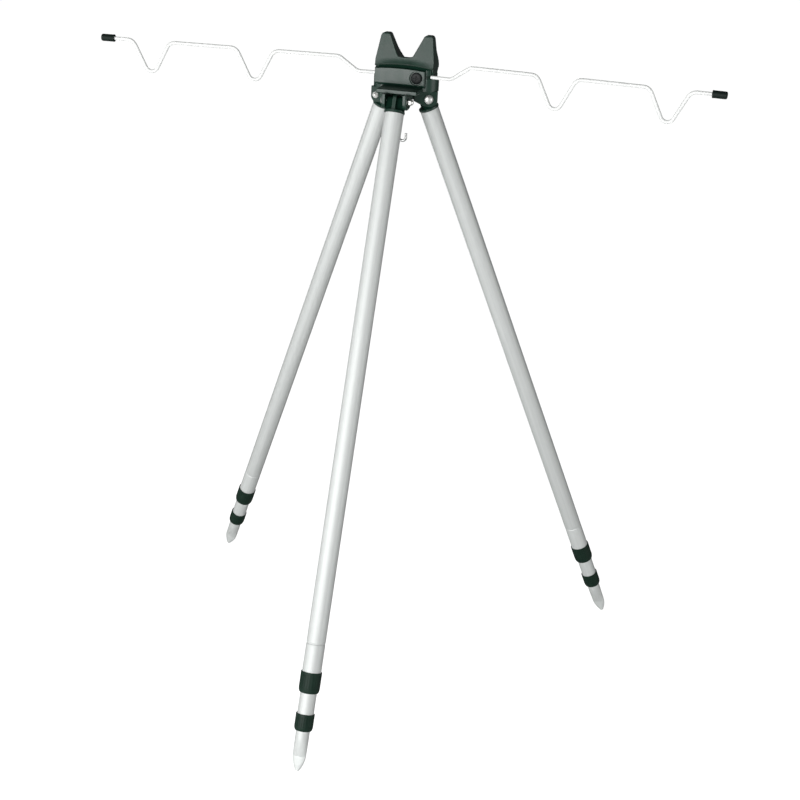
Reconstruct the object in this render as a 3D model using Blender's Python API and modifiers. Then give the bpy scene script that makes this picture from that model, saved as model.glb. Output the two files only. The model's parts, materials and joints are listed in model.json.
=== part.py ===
"""Surf rod tripod: three telescopic legs hinged under a small moulded head, a V notch on top
for one rod and two bent wire arms with dips for more rods.

Metres, +Z up, standing on Z = 0 with the front leg towards -Y. Leg pieces are drawn in the
leg's own frame: the hinge pin is its origin, the leg runs down local -Z, local X points
outwards and local Y lies along the pin.
"""

import math

import bmesh
import bpy
from mathutils import Matrix, Vector

# Stance
SPLAY = math.radians(22.5)
HINGE_Z = 0.7085
HINGE_RADIUS = 0.0270
FACINGS = {"front": -90, "right": 30, "left": 150}

# Clearances
GAP = 0.0003
PIN_GAP = 0.0003
SLIDE_GAP = 0.0002

# Clevises and deck of the hub
CHEEK_INNER = 0.0103
CHEEK_THICKNESS = 0.0043
CHEEK_ROOT = 0.0100
CHEEK_END = 0.0112
CHEEK_CORNER = 0.0018
CHEEK_ROUND = 0.0090
TONGUE_CLEARANCE = 0.0010
DECK_THICKNESS = 0.0045
DECK_FRONT = 0.0290
DECK_HALF_WIDTH = 0.0235
LEDGE = 0.0003

# Core of the hub, with heights above the deck
SEAT_FACE = 0.0010
CORE_HALF_WIDTH = 0.0320
LOBE_HEIGHT = 0.0107
CORE_HEIGHT = 0.0242

# Fork block, wider than the core, with heights above and below the core's top
FORK_WALL = 0.0025
FORK_LAP = 0.0003
FORK_ARCH = 0.0030
FORK_SHOULDER = 0.0045
FORK_HEIGHT = 0.0330
FORK_BACK_DROP = 0.0160
FORK_FRONT = -0.0002
FORK_LEAN = 0.0082
FORK_DEPTH = 0.0262
LIP_HEIGHT = 0.0020
LIP_DEPTH = 0.0008
FORK_TOP_DEPTH = 0.0110
HORN_OUTER = 0.0302
HORN_INNER = 0.0195
NOTCH_RISE = 0.0080
NOTCH_HALF_FLOOR = 0.0045
NOTCH_HALF_WIDTH = 0.0098
NOTCH_FLAT = 0.0075
NOTCH_BACK_DROP = 0.0032
SKIRT_DROP = 0.0088

# Clamp plate, between the deck and the top of the core, and its screw
PLATE_LEFT = 0.0342
PLATE_LEFT_TOP = 0.0340
PLATE_RIGHT = 0.0260
PLATE_LIFT = 0.0007
PLATE_TOP_DROP = 0.0035
PLATE_ARCH = 0.0016
SEAT_GAP = 0.0005
PLATE_THICKNESS = 0.0037
PLATE_EDGE = 0.0020
SCREW_X = 0.0156
SCREW_RISE = 0.0097
SCREW_RADIUS = 0.0020
SCREW_HEAD_RADIUS = 0.0066
SCREW_HEAD_HEIGHT = 0.0017
SCREW_DEPTH = 0.0120
COUNTERBORE_RADIUS = 0.0078
COUNTERBORE_DEPTH = 0.0022

# Wire arms: corner points as distances from the middle of the head and heights above the root,
# which lies this high above the lower edge of the clamp plate
ARM_RADIUS = 0.0020
ARM_ROOT_X = 0.0340
ARM_ROOT_RISE = 0.0118
ARM_ROOT_BEHIND_PLATE = 0.0026
ARM_SWEEP = math.radians(4.9)
ARM_INNER = 0.0205
ARM_STEP_FROM = 0.0555
ARM_STEP_TO = 0.0775
ARM_RISE = 0.0153
ARM_DIPS = (0.1778, 0.3037)
ARM_DIP_DEPTH = 0.0350
ARM_DIP_SLOPE = math.radians(63)
ARM_DIP_ROUND = 0.0078
ARM_BEND = 0.0110
ARM_END = 0.3648
CAP_RADIUS = 0.0043
CAP_LENGTH = 0.0160
CAP_WALL = 0.0030
STOP_RING_RADIUS = 0.0032
STOP_RING_LENGTH = 0.0024

# Ballast hook, whose drop is counted from the hinges down to its lowest point
HOOK_WIRE = 0.0015
HOOK_BEND = 0.0042
HOOK_CENTRE_X = 0.0020
HOOK_DROP = 0.0515
BOSS_RADIUS = 0.0070
BOSS_DEPTH = 0.0120
POCKET_RADIUS = 0.0045
POCKET_DEPTH = 0.0100

# Leg tubes, each smaller in radius than the one it slides in by one step
UPPER_RADIUS = 0.0110
TUBE_STEP = 0.0015
WALL = 0.0007
PLUG_RIM_TOP = 0.0112
PLUG_RIM_BOTTOM = 0.0142
PLUG_RIM_OVER_TUBE = 0.0008
PLUG_SPIGOT = 0.0300
TONGUE_RADIUS = 0.0068
TONGUE_BARREL = 0.0046
RIB_FACE = 0.0085
RIB_HALF_WIDTH = 0.00225
STOP_RING_FROM_END = 0.0455
ROLL_HALF_WIDTH = 0.0014

# Lock nuts: what covers the tube end, length and how far they stand out from the tube
UPPER_NUT_OVERLAP = 0.0130
UPPER_NUT_LENGTH = 0.0240
UPPER_NUT_OVER_TUBE = 0.0011
LOWER_NUT_OVERLAP = 0.0085
LOWER_NUT_LENGTH = 0.0195
LOWER_NUT_OVER_TUBE = 0.0013
NUT_LIP = 0.0022
NUT_TAPER = 0.0017
UPPER_NUT_TAPER_LENGTH = 0.0045
LOWER_NUT_TAPER_LENGTH = 0.0040
MIDDLE_SHOWS = 0.0240
LOWER_SHOWS = 0.0465

# Bushes on the tops of the sliding tubes
BUSH_FLANGE = 0.0050
BUSH_SPIGOT = 0.0100
BUSH_WALL = 0.0012
TOP_SPACE = 0.0100

# Pressed point of the lower tube, and how far its flat sides are turned about the leg
POINT_LENGTH = 0.0370
POINT_SOLID = 0.0080
BLADE_LENGTH = 0.0170
BLADE_THICKNESS = 0.0046
TIP_RADIUS = 0.0020
FOOT_TWIST = {"front": 0, "right": 60, "left": -60}

# Hinge bolts and their nuts
BOLT_RADIUS = 0.0020
BOLT_HEAD_RADIUS = 0.0054
BOLT_HEAD_HEIGHT = 0.0032
BOLT_NUT_RADIUS = 0.0040
BOLT_NUT_LENGTH = 0.0043
BOLT_END = 0.0010

# Sides of round shapes
SIDES = 20
SMALL_SIDES = 16
BLADE_SIDES = 24

# Sizes that follow from those above
CHEEK_OUTER = CHEEK_INNER + CHEEK_THICKNESS
DECK_CLEARANCE = TONGUE_RADIUS + TONGUE_CLEARANCE
DECK_UNDER = HINGE_Z + DECK_CLEARANCE
DECK_TOP = DECK_UNDER + DECK_THICKNESS
LOBE_TOP = DECK_TOP + LOBE_HEIGHT
CORE_TOP = DECK_TOP + CORE_HEIGHT
FORK_HALF_WIDTH = CORE_HALF_WIDTH + FORK_WALL
FORK_BOTTOM = CORE_TOP - FORK_LAP
FORK_WIDEST = CORE_TOP + FORK_SHOULDER
FORK_TOP = CORE_TOP + FORK_HEIGHT
NOTCH_FLOOR = CORE_TOP + NOTCH_RISE
SKIRT_BOTTOM = CORE_TOP - SKIRT_DROP
PLATE_BOTTOM = DECK_TOP + PLATE_LIFT
PLATE_TOP = CORE_TOP - PLATE_TOP_DROP
SCREW_Z = PLATE_BOTTOM + SCREW_RISE
ARM_ROOT_Z = PLATE_BOTTOM + ARM_ROOT_RISE
HOOK_BOTTOM = HINGE_Z - HOOK_DROP
MIDDLE_RADIUS = UPPER_RADIUS - TUBE_STEP
LOWER_RADIUS = MIDDLE_RADIUS - TUBE_STEP
BLADE_HALF_WIDTH = LOWER_RADIUS
PLUG_RIM_RADIUS = UPPER_RADIUS + PLUG_RIM_OVER_TUBE
UPPER_NUT_RADIUS = UPPER_RADIUS + UPPER_NUT_OVER_TUBE
LOWER_NUT_RADIUS = MIDDLE_RADIUS + LOWER_NUT_OVER_TUBE
UPPER_BORE = UPPER_RADIUS - WALL
MIDDLE_BORE = MIDDLE_RADIUS - WALL
LOWER_BORE = LOWER_RADIUS - WALL
UPPER_TUBE_TOP = PLUG_RIM_BOTTOM + GAP
LEG_LENGTH = (HINGE_Z - TIP_RADIUS * math.sin(SPLAY)) / math.cos(SPLAY)
LOWER_NUT_END = LEG_LENGTH - LOWER_SHOWS
LOWER_NUT_TOP = LOWER_NUT_END - LOWER_NUT_LENGTH
MIDDLE_TUBE_END = LOWER_NUT_TOP + LOWER_NUT_OVERLAP
UPPER_NUT_END = LOWER_NUT_TOP - MIDDLE_SHOWS
UPPER_NUT_TOP = UPPER_NUT_END - UPPER_NUT_LENGTH
UPPER_TUBE_END = UPPER_NUT_TOP + UPPER_NUT_OVERLAP
PLUG_END = PLUG_RIM_BOTTOM + PLUG_SPIGOT
MIDDLE_TUBE_TOP = PLUG_END + TOP_SPACE + BUSH_FLANGE
LOWER_TUBE_TOP = MIDDLE_TUBE_TOP + BUSH_SPIGOT + BUSH_FLANGE + TOP_SPACE
PLATE_BACK = SEAT_FACE - GAP
PLATE_FRONT = PLATE_BACK - PLATE_THICKNESS
ARM_ROOT_Y = PLATE_BACK + ARM_ROOT_BEHIND_PLATE
FOOT_RADIUS = HINGE_RADIUS + LEG_LENGTH * math.sin(SPLAY)
FRONT_EXTENT = FOOT_RADIUS + TIP_RADIUS * math.cos(SPLAY)
REAR_EXTENT = 0.5 * FOOT_RADIUS + TIP_RADIUS
AXIS_Y = 0.5 * (FRONT_EXTENT - REAR_EXTENT)


def clear_scene():
    for obj in list(bpy.data.objects):
        bpy.data.objects.remove(obj, do_unlink=True)


def new_collection(name):
    collection = bpy.data.collections.new(name)
    bpy.context.scene.collection.children.link(collection)
    return collection


def new_material(name, colour, roughness, metallic=0.0):
    material = bpy.data.materials.new(name)
    material.use_nodes = True
    shader = material.node_tree.nodes["Principled BSDF"]
    shader.inputs["Base Color"].default_value = (*colour, 1.0)
    shader.inputs["Roughness"].default_value = roughness
    shader.inputs["Metallic"].default_value = metallic
    material.diffuse_color = (*colour, 1.0)
    return material


def new_empty(name, location, parent=None, rotation=(0.0, 0.0, 0.0)):
    empty = bpy.data.objects.new(name, None)
    empty.location = location
    empty.rotation_euler = rotation
    empty.parent = parent
    PARTS.objects.link(empty)
    return empty


def mesh_from(name, points, faces=(), edges=()):
    mesh = bpy.data.meshes.new(name)
    mesh.from_pydata([tuple(point) for point in points], list(edges), list(faces))
    mesh.validate()
    return mesh


def place(name, mesh, parent, material, location=(0.0, 0.0, 0.0), rotation=(0.0, 0.0, 0.0)):
    obj = bpy.data.objects.new(name, mesh)
    obj.location = location
    obj.rotation_euler = rotation
    obj.parent = parent
    PARTS.objects.link(obj)
    if not mesh.materials:
        mesh.materials.append(material)
    return obj


def helper(name, mesh, parent=None, location=(0.0, 0.0, 0.0), rotation=(0.0, 0.0, 0.0)):
    """An object that only cuts or joins others."""
    obj = bpy.data.objects.new(name, mesh)
    obj.location = location
    obj.rotation_euler = rotation
    obj.parent = parent
    obj.hide_render = True
    obj.display_type = "WIRE"
    HELPERS.objects.link(obj)
    return obj


def combine(obj, other, operation):
    modifier = obj.modifiers.new(other.name, "BOOLEAN")
    modifier.operation = operation
    modifier.solver = "EXACT"
    modifier.object = other


def smooth(mesh, degrees=35.0):
    mesh.polygons.foreach_set("use_smooth", [True] * len(mesh.polygons))
    mesh.set_sharp_from_angle(angle=math.radians(degrees))


def baked(obj):
    """The object's mesh with its modifiers applied, in the object's own frame."""
    bpy.context.view_layer.update()
    graph = bpy.context.evaluated_depsgraph_get()
    mesh = bpy.data.meshes.new_from_object(obj.evaluated_get(graph))
    mesh.name = obj.name
    bpy.data.objects.remove(obj, do_unlink=True)
    return mesh


def facing_out(mesh):
    shape = bmesh.new()
    shape.from_mesh(mesh)
    bmesh.ops.recalc_face_normals(shape, faces=shape.faces)
    shape.to_mesh(mesh)
    shape.free()
    return mesh


def loft(name, rings):
    """Closed rings of equal length joined by quads, with both ends capped."""
    count = len(rings[0])
    points = [point for ring in rings for point in ring]
    faces = []
    for level in range(len(rings) - 1):
        for i in range(count):
            j = (i + 1) % count
            low = level * count
            high = low + count
            faces.append((low + i, low + j, high + j, high + i))
    faces.append(tuple(reversed(range(count))))
    faces.append(tuple(range(len(points) - count, len(points))))
    return facing_out(mesh_from(name, points, faces))


def from_shape(name, shape):
    """A new mesh from an edited shape, which is freed."""
    mesh = bpy.data.meshes.new(name)
    shape.to_mesh(mesh)
    shape.free()
    return mesh


def slab(name, outline, axis, low, high):
    """A flat outline drawn square to one axis and thickened along it from low to high."""
    curve = bpy.data.curves.new(name, "CURVE")
    curve.dimensions = "2D"
    curve.fill_mode = "BOTH"
    curve.extrude = 0.5 * (high - low)
    spline = curve.splines.new("POLY")
    spline.points.add(len(outline) - 1)
    spline.use_cyclic_u = True
    for spot, (u, v) in zip(spline.points, outline):
        spot.co = (u, v, 0.0, 1.0)
    obj = bpy.data.objects.new(name, curve)
    HELPERS.objects.link(obj)
    mesh = baked(obj)
    turns = {"X": ((0, 0, 1), (1, 0, 0), (0, 1, 0)), "Y": ((1, 0, 0), (0, 0, 1), (0, 1, 0))}
    if axis in turns:
        mesh.transform(Matrix(turns[axis]).to_4x4())
    middle = 0.5 * (low + high)
    mesh.transform(Matrix.Translation([middle if axis == letter else 0.0 for letter in "XYZ"]))
    shape = bmesh.new()
    shape.from_mesh(mesh)
    bmesh.ops.remove_doubles(shape, verts=shape.verts, dist=0.00001)
    flat = [edge for edge in shape.edges if edge.calc_face_angle(1.0) < 0.001]
    bmesh.ops.dissolve_edges(shape, edges=flat)
    bmesh.ops.recalc_face_normals(shape, faces=shape.faces)
    shape.to_mesh(mesh)
    shape.free()
    return mesh


def box(name, low, high):
    shape = bmesh.new()
    size = Vector(high) - Vector(low)
    middle = Matrix.Translation(0.5 * (Vector(low) + Vector(high)))
    bmesh.ops.create_cube(shape, size=1.0, matrix=middle @ Matrix.Diagonal((*size, 1.0)))
    return from_shape(name, shape)


def rod(name, radius, start, end, sides=SMALL_SIDES):
    """A cylinder along local Z."""
    shape = bmesh.new()
    middle = Matrix.Translation((0.0, 0.0, 0.5 * (start + end)))
    bmesh.ops.create_cone(
        shape,
        cap_ends=True,
        segments=sides,
        radius1=radius,
        radius2=radius,
        depth=end - start,
        matrix=middle,
    )
    return from_shape(name, shape)


def turned(name, profile, sides=SIDES, hollow=False):
    """A profile of (radius, height) turned about local Z, listed down its outer side."""
    points = [(radius, 0.0, height) for radius, height in profile]
    edges = [(i, i + 1) for i in range(len(points) - 1)]
    if hollow:
        edges.append((len(points) - 1, 0))
    obj = bpy.data.objects.new(name, mesh_from(name, points, edges=edges))
    HELPERS.objects.link(obj)
    screw = obj.modifiers.new("turn", "SCREW")
    screw.axis = "Z"
    screw.steps = sides
    screw.render_steps = sides
    screw.use_merge_vertices = True
    screw.merge_threshold = 0.00001
    mesh = facing_out(baked(obj))
    smooth(mesh)
    return mesh


def arc(centre, radius, start, end, steps):
    """Points on a circle between two angles in degrees."""
    turns = [start + (end - start) * i / steps for i in range(steps + 1)]
    return [
        (
            centre[0] + radius * math.cos(math.radians(turn)),
            centre[1] + radius * math.sin(math.radians(turn)),
        )
        for turn in turns
    ]


def rounded(corners, radii, steps):
    """A line of (along, height) corners with each inner corner replaced by an arc."""
    points = [Vector(corners[0])]
    for before, corner, after, radius in zip(corners, corners[1:], corners[2:], radii):
        corner = Vector(corner)
        back = (Vector(before) - corner).normalized()
        ahead = (Vector(after) - corner).normalized()
        half = 0.5 * back.angle(ahead)
        reach = radius / math.tan(half)
        centre = corner + (back + ahead).normalized() * (radius / math.sin(half))
        first = corner + back * reach - centre
        swing = first.angle_signed(corner + ahead * reach - centre)
        for i in range(steps + 1):
            turn = -swing * i / steps
            x = first.x * math.cos(turn) - first.y * math.sin(turn)
            y = first.x * math.sin(turn) + first.y * math.cos(turn)
            points.append(centre + Vector((x, y)))
    points.append(Vector(corners[-1]))
    return points


def wire(name, points, radius, material, parent):
    """A round wire through (along, height) points in the local XZ plane."""
    curve = bpy.data.curves.new(name, "CURVE")
    curve.dimensions = "3D"
    curve.bevel_depth = radius
    curve.bevel_resolution = 2
    curve.use_fill_caps = True
    spline = curve.splines.new("POLY")
    spline.points.add(len(points) - 1)
    for spot, (along, height) in zip(spline.points, points):
        spot.co = (along, 0.0, height, 1.0)
    curve.materials.append(material)
    obj = bpy.data.objects.new(name, curve)
    obj.parent = parent
    PARTS.objects.link(obj)
    return obj


clear_scene()
PARTS = new_collection("surf_rod_tripod")
HELPERS = new_collection("cutters")
HELPERS.hide_render = True

MOULDED = new_material("moulded_green", (0.030, 0.050, 0.040), 0.45)
NUT_PLASTIC = new_material("nut_plastic", (0.020, 0.040, 0.032), 0.55)
ANODISED = new_material("anodised_tube", (0.72, 0.74, 0.73), 0.35, 0.9)
WIRE_PAINT = new_material("wire_paint", (0.86, 0.87, 0.86), 0.40)
CAP_VINYL = new_material("cap_vinyl", (0.018, 0.035, 0.030), 0.60)
BOLT_STEEL = new_material("bolt_steel", (0.80, 0.80, 0.78), 0.25, 1.0)
SCREW_STEEL = new_material("screw_steel", (0.12, 0.13, 0.13), 0.40, 1.0)
BUSH_NYLON = new_material("bush_nylon", (0.75, 0.75, 0.72), 0.50)
HOOK_STEEL = new_material("hook_steel", (0.70, 0.70, 0.70), 0.30, 1.0)

tripod = new_empty("tripod", (0.0, AXIS_Y, 0.0))

# Clevis frames stand upright at each pin, leg frames lean with the leg
clevises = {}
legs = {}
for facing, degrees in FACINGS.items():
    around = math.radians(degrees)
    spot = (HINGE_RADIUS * math.cos(around), HINGE_RADIUS * math.sin(around), HINGE_Z)
    clevises[facing] = new_empty("clevis_" + facing, spot, tripod, (0.0, 0.0, around))
    legs[facing] = new_empty("leg_" + facing, (0.0, 0.0, 0.0), clevises[facing], (0.0, -SPLAY, 0.0))

# Hub: a slab with round ends over the rear clevises, a core on it and a deck in front
cos30 = math.cos(math.radians(30))
lobe = (cos30 * HINGE_RADIUS, 0.5 * HINGE_RADIUS)
slab_radius = CHEEK_OUTER + LEDGE
core_radius = CHEEK_OUTER
core_back = lobe[1] + core_radius
END_FLAT = 0.0030


def round_ended(radius, half_width=None):
    """Plan of the slab over both rear hinges, with its ends brought to a flat if asked."""
    side = arc(lobe, radius, -90, 90, 12)
    if half_width:
        kept = [(x, y) for x, y in side if x < half_width]
        height = math.sqrt(max(radius**2 - (half_width - lobe[0]) ** 2, END_FLAT**2))
        low = [spot for spot in kept if spot[1] < lobe[1]]
        high = [spot for spot in kept if spot[1] > lobe[1]]
        side = low + [(half_width, lobe[1] - height), (half_width, lobe[1] + height)] + high
    return side + [(-x, y) for x, y in reversed(side)]


hub = place("hub", slab("hub", round_ended(slab_radius), "Z", DECK_UNDER, LOBE_TOP), tripod, MOULDED)
core = slab("core", round_ended(core_radius, CORE_HALF_WIDTH), "Z", DECK_TOP + 0.001, CORE_TOP)
combine(hub, helper("core", core, tripod), "UNION")
base_plan = round_ended(core_radius, FORK_HALF_WIDTH - LEDGE)
core_base = slab("core_base", base_plan, "Z", DECK_TOP + 0.001, SKIRT_BOTTOM - GAP)
combine(hub, helper("core_base", core_base, tripod), "UNION")
deck_low = (-DECK_HALF_WIDTH, -DECK_FRONT, DECK_UNDER + LEDGE)
deck_high = (DECK_HALF_WIDTH, lobe[1], DECK_TOP)
combine(hub, helper("deck", box("deck", deck_low, deck_high), tripod), "UNION")
boss = rod("boss", BOSS_RADIUS, DECK_UNDER - BOSS_DEPTH, DECK_UNDER + 0.002, 20)
combine(hub, helper("boss", boss, tripod), "UNION")

# Clevis block in the clevis frame: flat end with round corners, lower edge rounded, tongue slot
cheek_inner = CHEEK_ROOT - HINGE_RADIUS
cheek_top = DECK_CLEARANCE + 0.0008
corner = (CHEEK_END - CHEEK_CORNER, CHEEK_OUTER - CHEEK_CORNER)
block_plan = [(cheek_inner, -CHEEK_OUTER)] + arc((corner[0], -corner[1]), CHEEK_CORNER, -90, 0, 4)
block_plan += arc(corner, CHEEK_CORNER, 0, 90, 4) + [(cheek_inner, CHEEK_OUTER)]
round_centre = (CHEEK_END - CHEEK_ROUND, 0.0)
cheek = [(cheek_inner, cheek_top + 0.001), (cheek_inner, -0.0020), (-0.0050, -CHEEK_ROUND + 0.0010)]
cheek += arc(round_centre, CHEEK_ROUND, -90, 0, 5)
cheek += [(CHEEK_END + 0.002, 0.0), (CHEEK_END + 0.002, cheek_top + 0.001)]
block = place("clevis_block", slab("clevis_block", block_plan, "Z", -0.015, cheek_top), None, MOULDED)
combine(block, helper("cheek", slab("cheek", cheek, "Y", -0.02, 0.02)), "INTERSECT")
block_mesh = baked(block)
bpy.data.objects.remove(bpy.data.objects["cheek"], do_unlink=True)
for facing, clevis in clevises.items():
    combine(hub, helper("block_" + facing, block_mesh, clevis), "UNION")
slot_low = (cheek_inner - 0.0012, -CHEEK_INNER, -0.02)
slot_high = (CHEEK_END + 0.01, CHEEK_INNER, DECK_CLEARANCE)
slot_mesh = box("slot", slot_low, slot_high)
hole_mesh = rod("pin_hole", BOLT_RADIUS + PIN_GAP, -CHEEK_OUTER - 0.003, CHEEK_OUTER + 0.003)
along_y = (math.pi / 2, 0.0, 0.0)
for facing, clevis in clevises.items():
    combine(hub, helper("slot_" + facing, slot_mesh, clevis), "DIFFERENCE")
    combine(hub, helper("pin_hole_" + facing, hole_mesh, clevis, rotation=along_y), "DIFFERENCE")

# Seat of the clamp plate, open above the deck
seat_low = (-0.05, -0.02, DECK_TOP + LEDGE)
seat_high = (PLATE_RIGHT + SEAT_GAP, SEAT_FACE, CORE_TOP + 0.01)
combine(hub, helper("plate_seat", box("plate_seat", seat_low, seat_high), tripod), "DIFFERENCE")
relief_low = (PLATE_RIGHT, -0.021, FORK_BOTTOM - FORK_ARCH - GAP)
relief_high = (0.051, SEAT_FACE, CORE_TOP + 0.011)
combine(hub, helper("lip_relief", box("lip_relief", relief_low, relief_high), tripod), "DIFFERENCE")

# Arm frames: origin where the wire leaves the head, local X out along the arm
arms = {
    "right": new_empty("arm_right_axis", (ARM_ROOT_X, ARM_ROOT_Y, ARM_ROOT_Z), tripod, (0, 0, -ARM_SWEEP)),
    "left": new_empty("arm_left_axis", (-ARM_ROOT_X, ARM_ROOT_Y, ARM_ROOT_Z), tripod, (0, 0, math.pi + ARM_SWEEP)),
}
groove = ARM_RADIUS + GAP
pocket = STOP_RING_RADIUS + GAP
inner_end = ARM_INNER - ARM_ROOT_X
along_x = (0.0, math.pi / 2, 0.0)
covered = {"right": PLATE_RIGHT - ARM_ROOT_X, "left": 0.012}
for side, axis in arms.items():
    front = -1 if side == "right" else 1
    low_y, high_y = sorted((front * 0.008, -front * groove))
    open_low = (inner_end - 0.0012, low_y, -groove)
    open_high = (covered[side], high_y, groove)
    cutter = box("groove_" + side, open_low, open_high)
    combine(hub, helper("groove_" + side, cutter, axis), "DIFFERENCE")
    low_y, high_y = sorted((front * 0.009, -front * pocket))
    pocket_low = (inner_end - 0.0006, low_y, -pocket)
    pocket_high = (inner_end + STOP_RING_LENGTH + 2 * GAP, high_y, pocket)
    cutter = box("stop_pocket_" + side, pocket_low, pocket_high)
    combine(hub, helper("stop_pocket_" + side, cutter, axis), "DIFFERENCE")
bore = rod("wire_bore", groove, covered["right"] - 0.0015, 0.014)
combine(hub, helper("wire_bore", bore, arms["right"], rotation=along_x), "DIFFERENCE")

# Screw hole from the front and the hook's pocket from below
bore = rod("screw_bore", SCREW_RADIUS + GAP, -SCREW_DEPTH - 0.001, 0.004)
screw_spot = (SCREW_X, SEAT_FACE, SCREW_Z)
combine(hub, helper("screw_bore", bore, tripod, screw_spot, along_y), "DIFFERENCE")
boss_end = DECK_UNDER - BOSS_DEPTH
bore = rod("hook_pocket", POCKET_RADIUS, boss_end - 0.002, boss_end + POCKET_DEPTH, 20)
combine(hub, helper("hook_pocket", bore, tripod), "DIFFERENCE")

# Fork block: front outline crossed with a leaning side profile, hollow over the core


def fork_low(x):
    """Lower edge of the fork block, arched between its two ends."""
    return FORK_BOTTOM - FORK_ARCH * (x / FORK_HALF_WIDTH) ** 2


across = [FORK_HALF_WIDTH * (i / 5 - 1) for i in range(11)]
lower_edge = [(x, fork_low(x)) for x in across]
half_top = [
    (FORK_HALF_WIDTH, FORK_WIDEST),
    (HORN_OUTER + 0.0004, FORK_TOP - 0.0030),
    (HORN_OUTER - 0.0008, FORK_TOP - 0.0008),
    (HORN_OUTER - 0.0028, FORK_TOP),
    (HORN_INNER + 0.0024, FORK_TOP),
    (HORN_INNER + 0.0006, FORK_TOP - 0.0012),
    (NOTCH_HALF_WIDTH, NOTCH_FLOOR + 0.0030),
    (NOTCH_HALF_WIDTH - 0.0018, NOTCH_FLOOR + 0.0007),
    (NOTCH_HALF_FLOOR, NOTCH_FLOOR),
]
outline = lower_edge + half_top + [(-x, z) for x, z in reversed(half_top)]
top_front = FORK_FRONT + FORK_LEAN
top_back = top_front + FORK_TOP_DEPTH
low_back = FORK_FRONT + FORK_DEPTH
profile = [
    (FORK_FRONT, SKIRT_BOTTOM - 0.002),
    (FORK_FRONT, CORE_TOP + 0.0008),
    (top_front - 0.0004, FORK_TOP - 0.0016),
    (top_front + 0.0010, FORK_TOP + 0.002),
    (top_back, FORK_TOP + 0.002),
    (top_back, FORK_TOP - FORK_BACK_DROP),
    (low_back - 0.0030, FORK_WIDEST + 0.0030),
    (low_back, FORK_WIDEST - 0.0040),
    (low_back, SKIRT_BOTTOM - 0.002),
]
fork = place("fork", slab("fork", outline, "Y", -0.01, core_back + 0.01), tripod, MOULDED)
sides_cut = helper("fork_sides", slab("fork_sides", profile, "X", -0.05, 0.05), tripod)
combine(fork, sides_cut, "INTERSECT")
flank_slope = (HORN_INNER + 0.0006 - NOTCH_HALF_WIDTH) / (FORK_TOP - 0.0042 - NOTCH_FLOOR)


def notch_ring(y):
    """Outline of the lower notch at one depth: behind its flat part the floor runs down."""
    drop = NOTCH_BACK_DROP * (y - NOTCH_FLAT) / (FORK_DEPTH - NOTCH_FLAT - 0.0034)
    inward = flank_slope * drop
    half = [
        (NOTCH_HALF_WIDTH + flank_slope * 0.0030 - LEDGE, NOTCH_FLOOR + 0.0060),
        (NOTCH_HALF_WIDTH - LEDGE - inward, NOTCH_FLOOR + 0.0030 - drop),
        (NOTCH_HALF_WIDTH - LEDGE - 0.0018 - inward, NOTCH_FLOOR + 0.0007 - drop),
        (NOTCH_HALF_FLOOR - inward, NOTCH_FLOOR - drop),
    ]
    return [(x, y, z) for x, z in half] + [(-x, y, z) for x, z in reversed(half)]


ramp = loft("notch_ramp", [notch_ring(FORK_FRONT - 0.003), notch_ring(FORK_DEPTH + 0.002)])
combine(fork, helper("notch_ramp", ramp, tripod), "DIFFERENCE")
lip = [(x, z + 0.0001) for x, z in lower_edge]
lip += [(x, z + LIP_HEIGHT) for x, z in reversed(lower_edge)]
lip_front = FORK_FRONT - LIP_DEPTH
combine(fork, helper("lip", slab("lip", lip, "Y", lip_front, SEAT_FACE + 0.004), tripod), "UNION")
hollow_low = (-CORE_HALF_WIDTH - GAP, SEAT_FACE - GAP, SKIRT_BOTTOM - 0.01)
hollow_high = (CORE_HALF_WIDTH + GAP, core_back + 0.02, CORE_TOP + GAP)
combine(fork, helper("fork_hollow", box("fork_hollow", hollow_low, hollow_high), tripod), "DIFFERENCE")
skirt = [
    (SEAT_FACE + 0.0004, FORK_BOTTOM + 0.001),
    (SEAT_FACE + 0.0004, SKIRT_BOTTOM + 0.003),
    (SEAT_FACE + 0.0020, SKIRT_BOTTOM),
    (low_back - 0.0050, SKIRT_BOTTOM),
    (low_back - 0.0015, SKIRT_BOTTOM + 0.004),
    (low_back - 0.0015, FORK_BOTTOM + 0.001),
]
skirt_inner = CORE_HALF_WIDTH + 2 * GAP
skirt_outer = FORK_HALF_WIDTH - 0.0003
for side, low_x, high_x in (("right", skirt_inner, skirt_outer), ("left", -skirt_outer, -skirt_inner)):
    skirt_mesh = slab("skirt_" + side, skirt, "X", low_x, high_x)
    combine(fork, helper("skirt_" + side, skirt_mesh, tripod), "UNION")

# Clamp plate with an arched top and a broad chamfer along its lower and right edges
plate_middle = 0.5 * (PLATE_RIGHT - PLATE_LEFT)
plate_half = 0.5 * (PLATE_RIGHT + PLATE_LEFT)


def plate_ring(y, right, low, other):
    """Outline of the plate at one depth, drawn in by these amounts along its edges."""
    left = -PLATE_LEFT_TOP + other
    spots = [(-PLATE_LEFT + other, PLATE_BOTTOM + low), (PLATE_RIGHT - right, PLATE_BOTTOM + low)]
    for i in range(7):
        x = PLATE_RIGHT - right + (left - PLATE_RIGHT + right) * i / 6
        drop = PLATE_ARCH * ((x - plate_middle) / plate_half) ** 2
        spots.append((x, PLATE_TOP - drop - other))
    return [(x, y, z) for x, z in spots]


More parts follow.
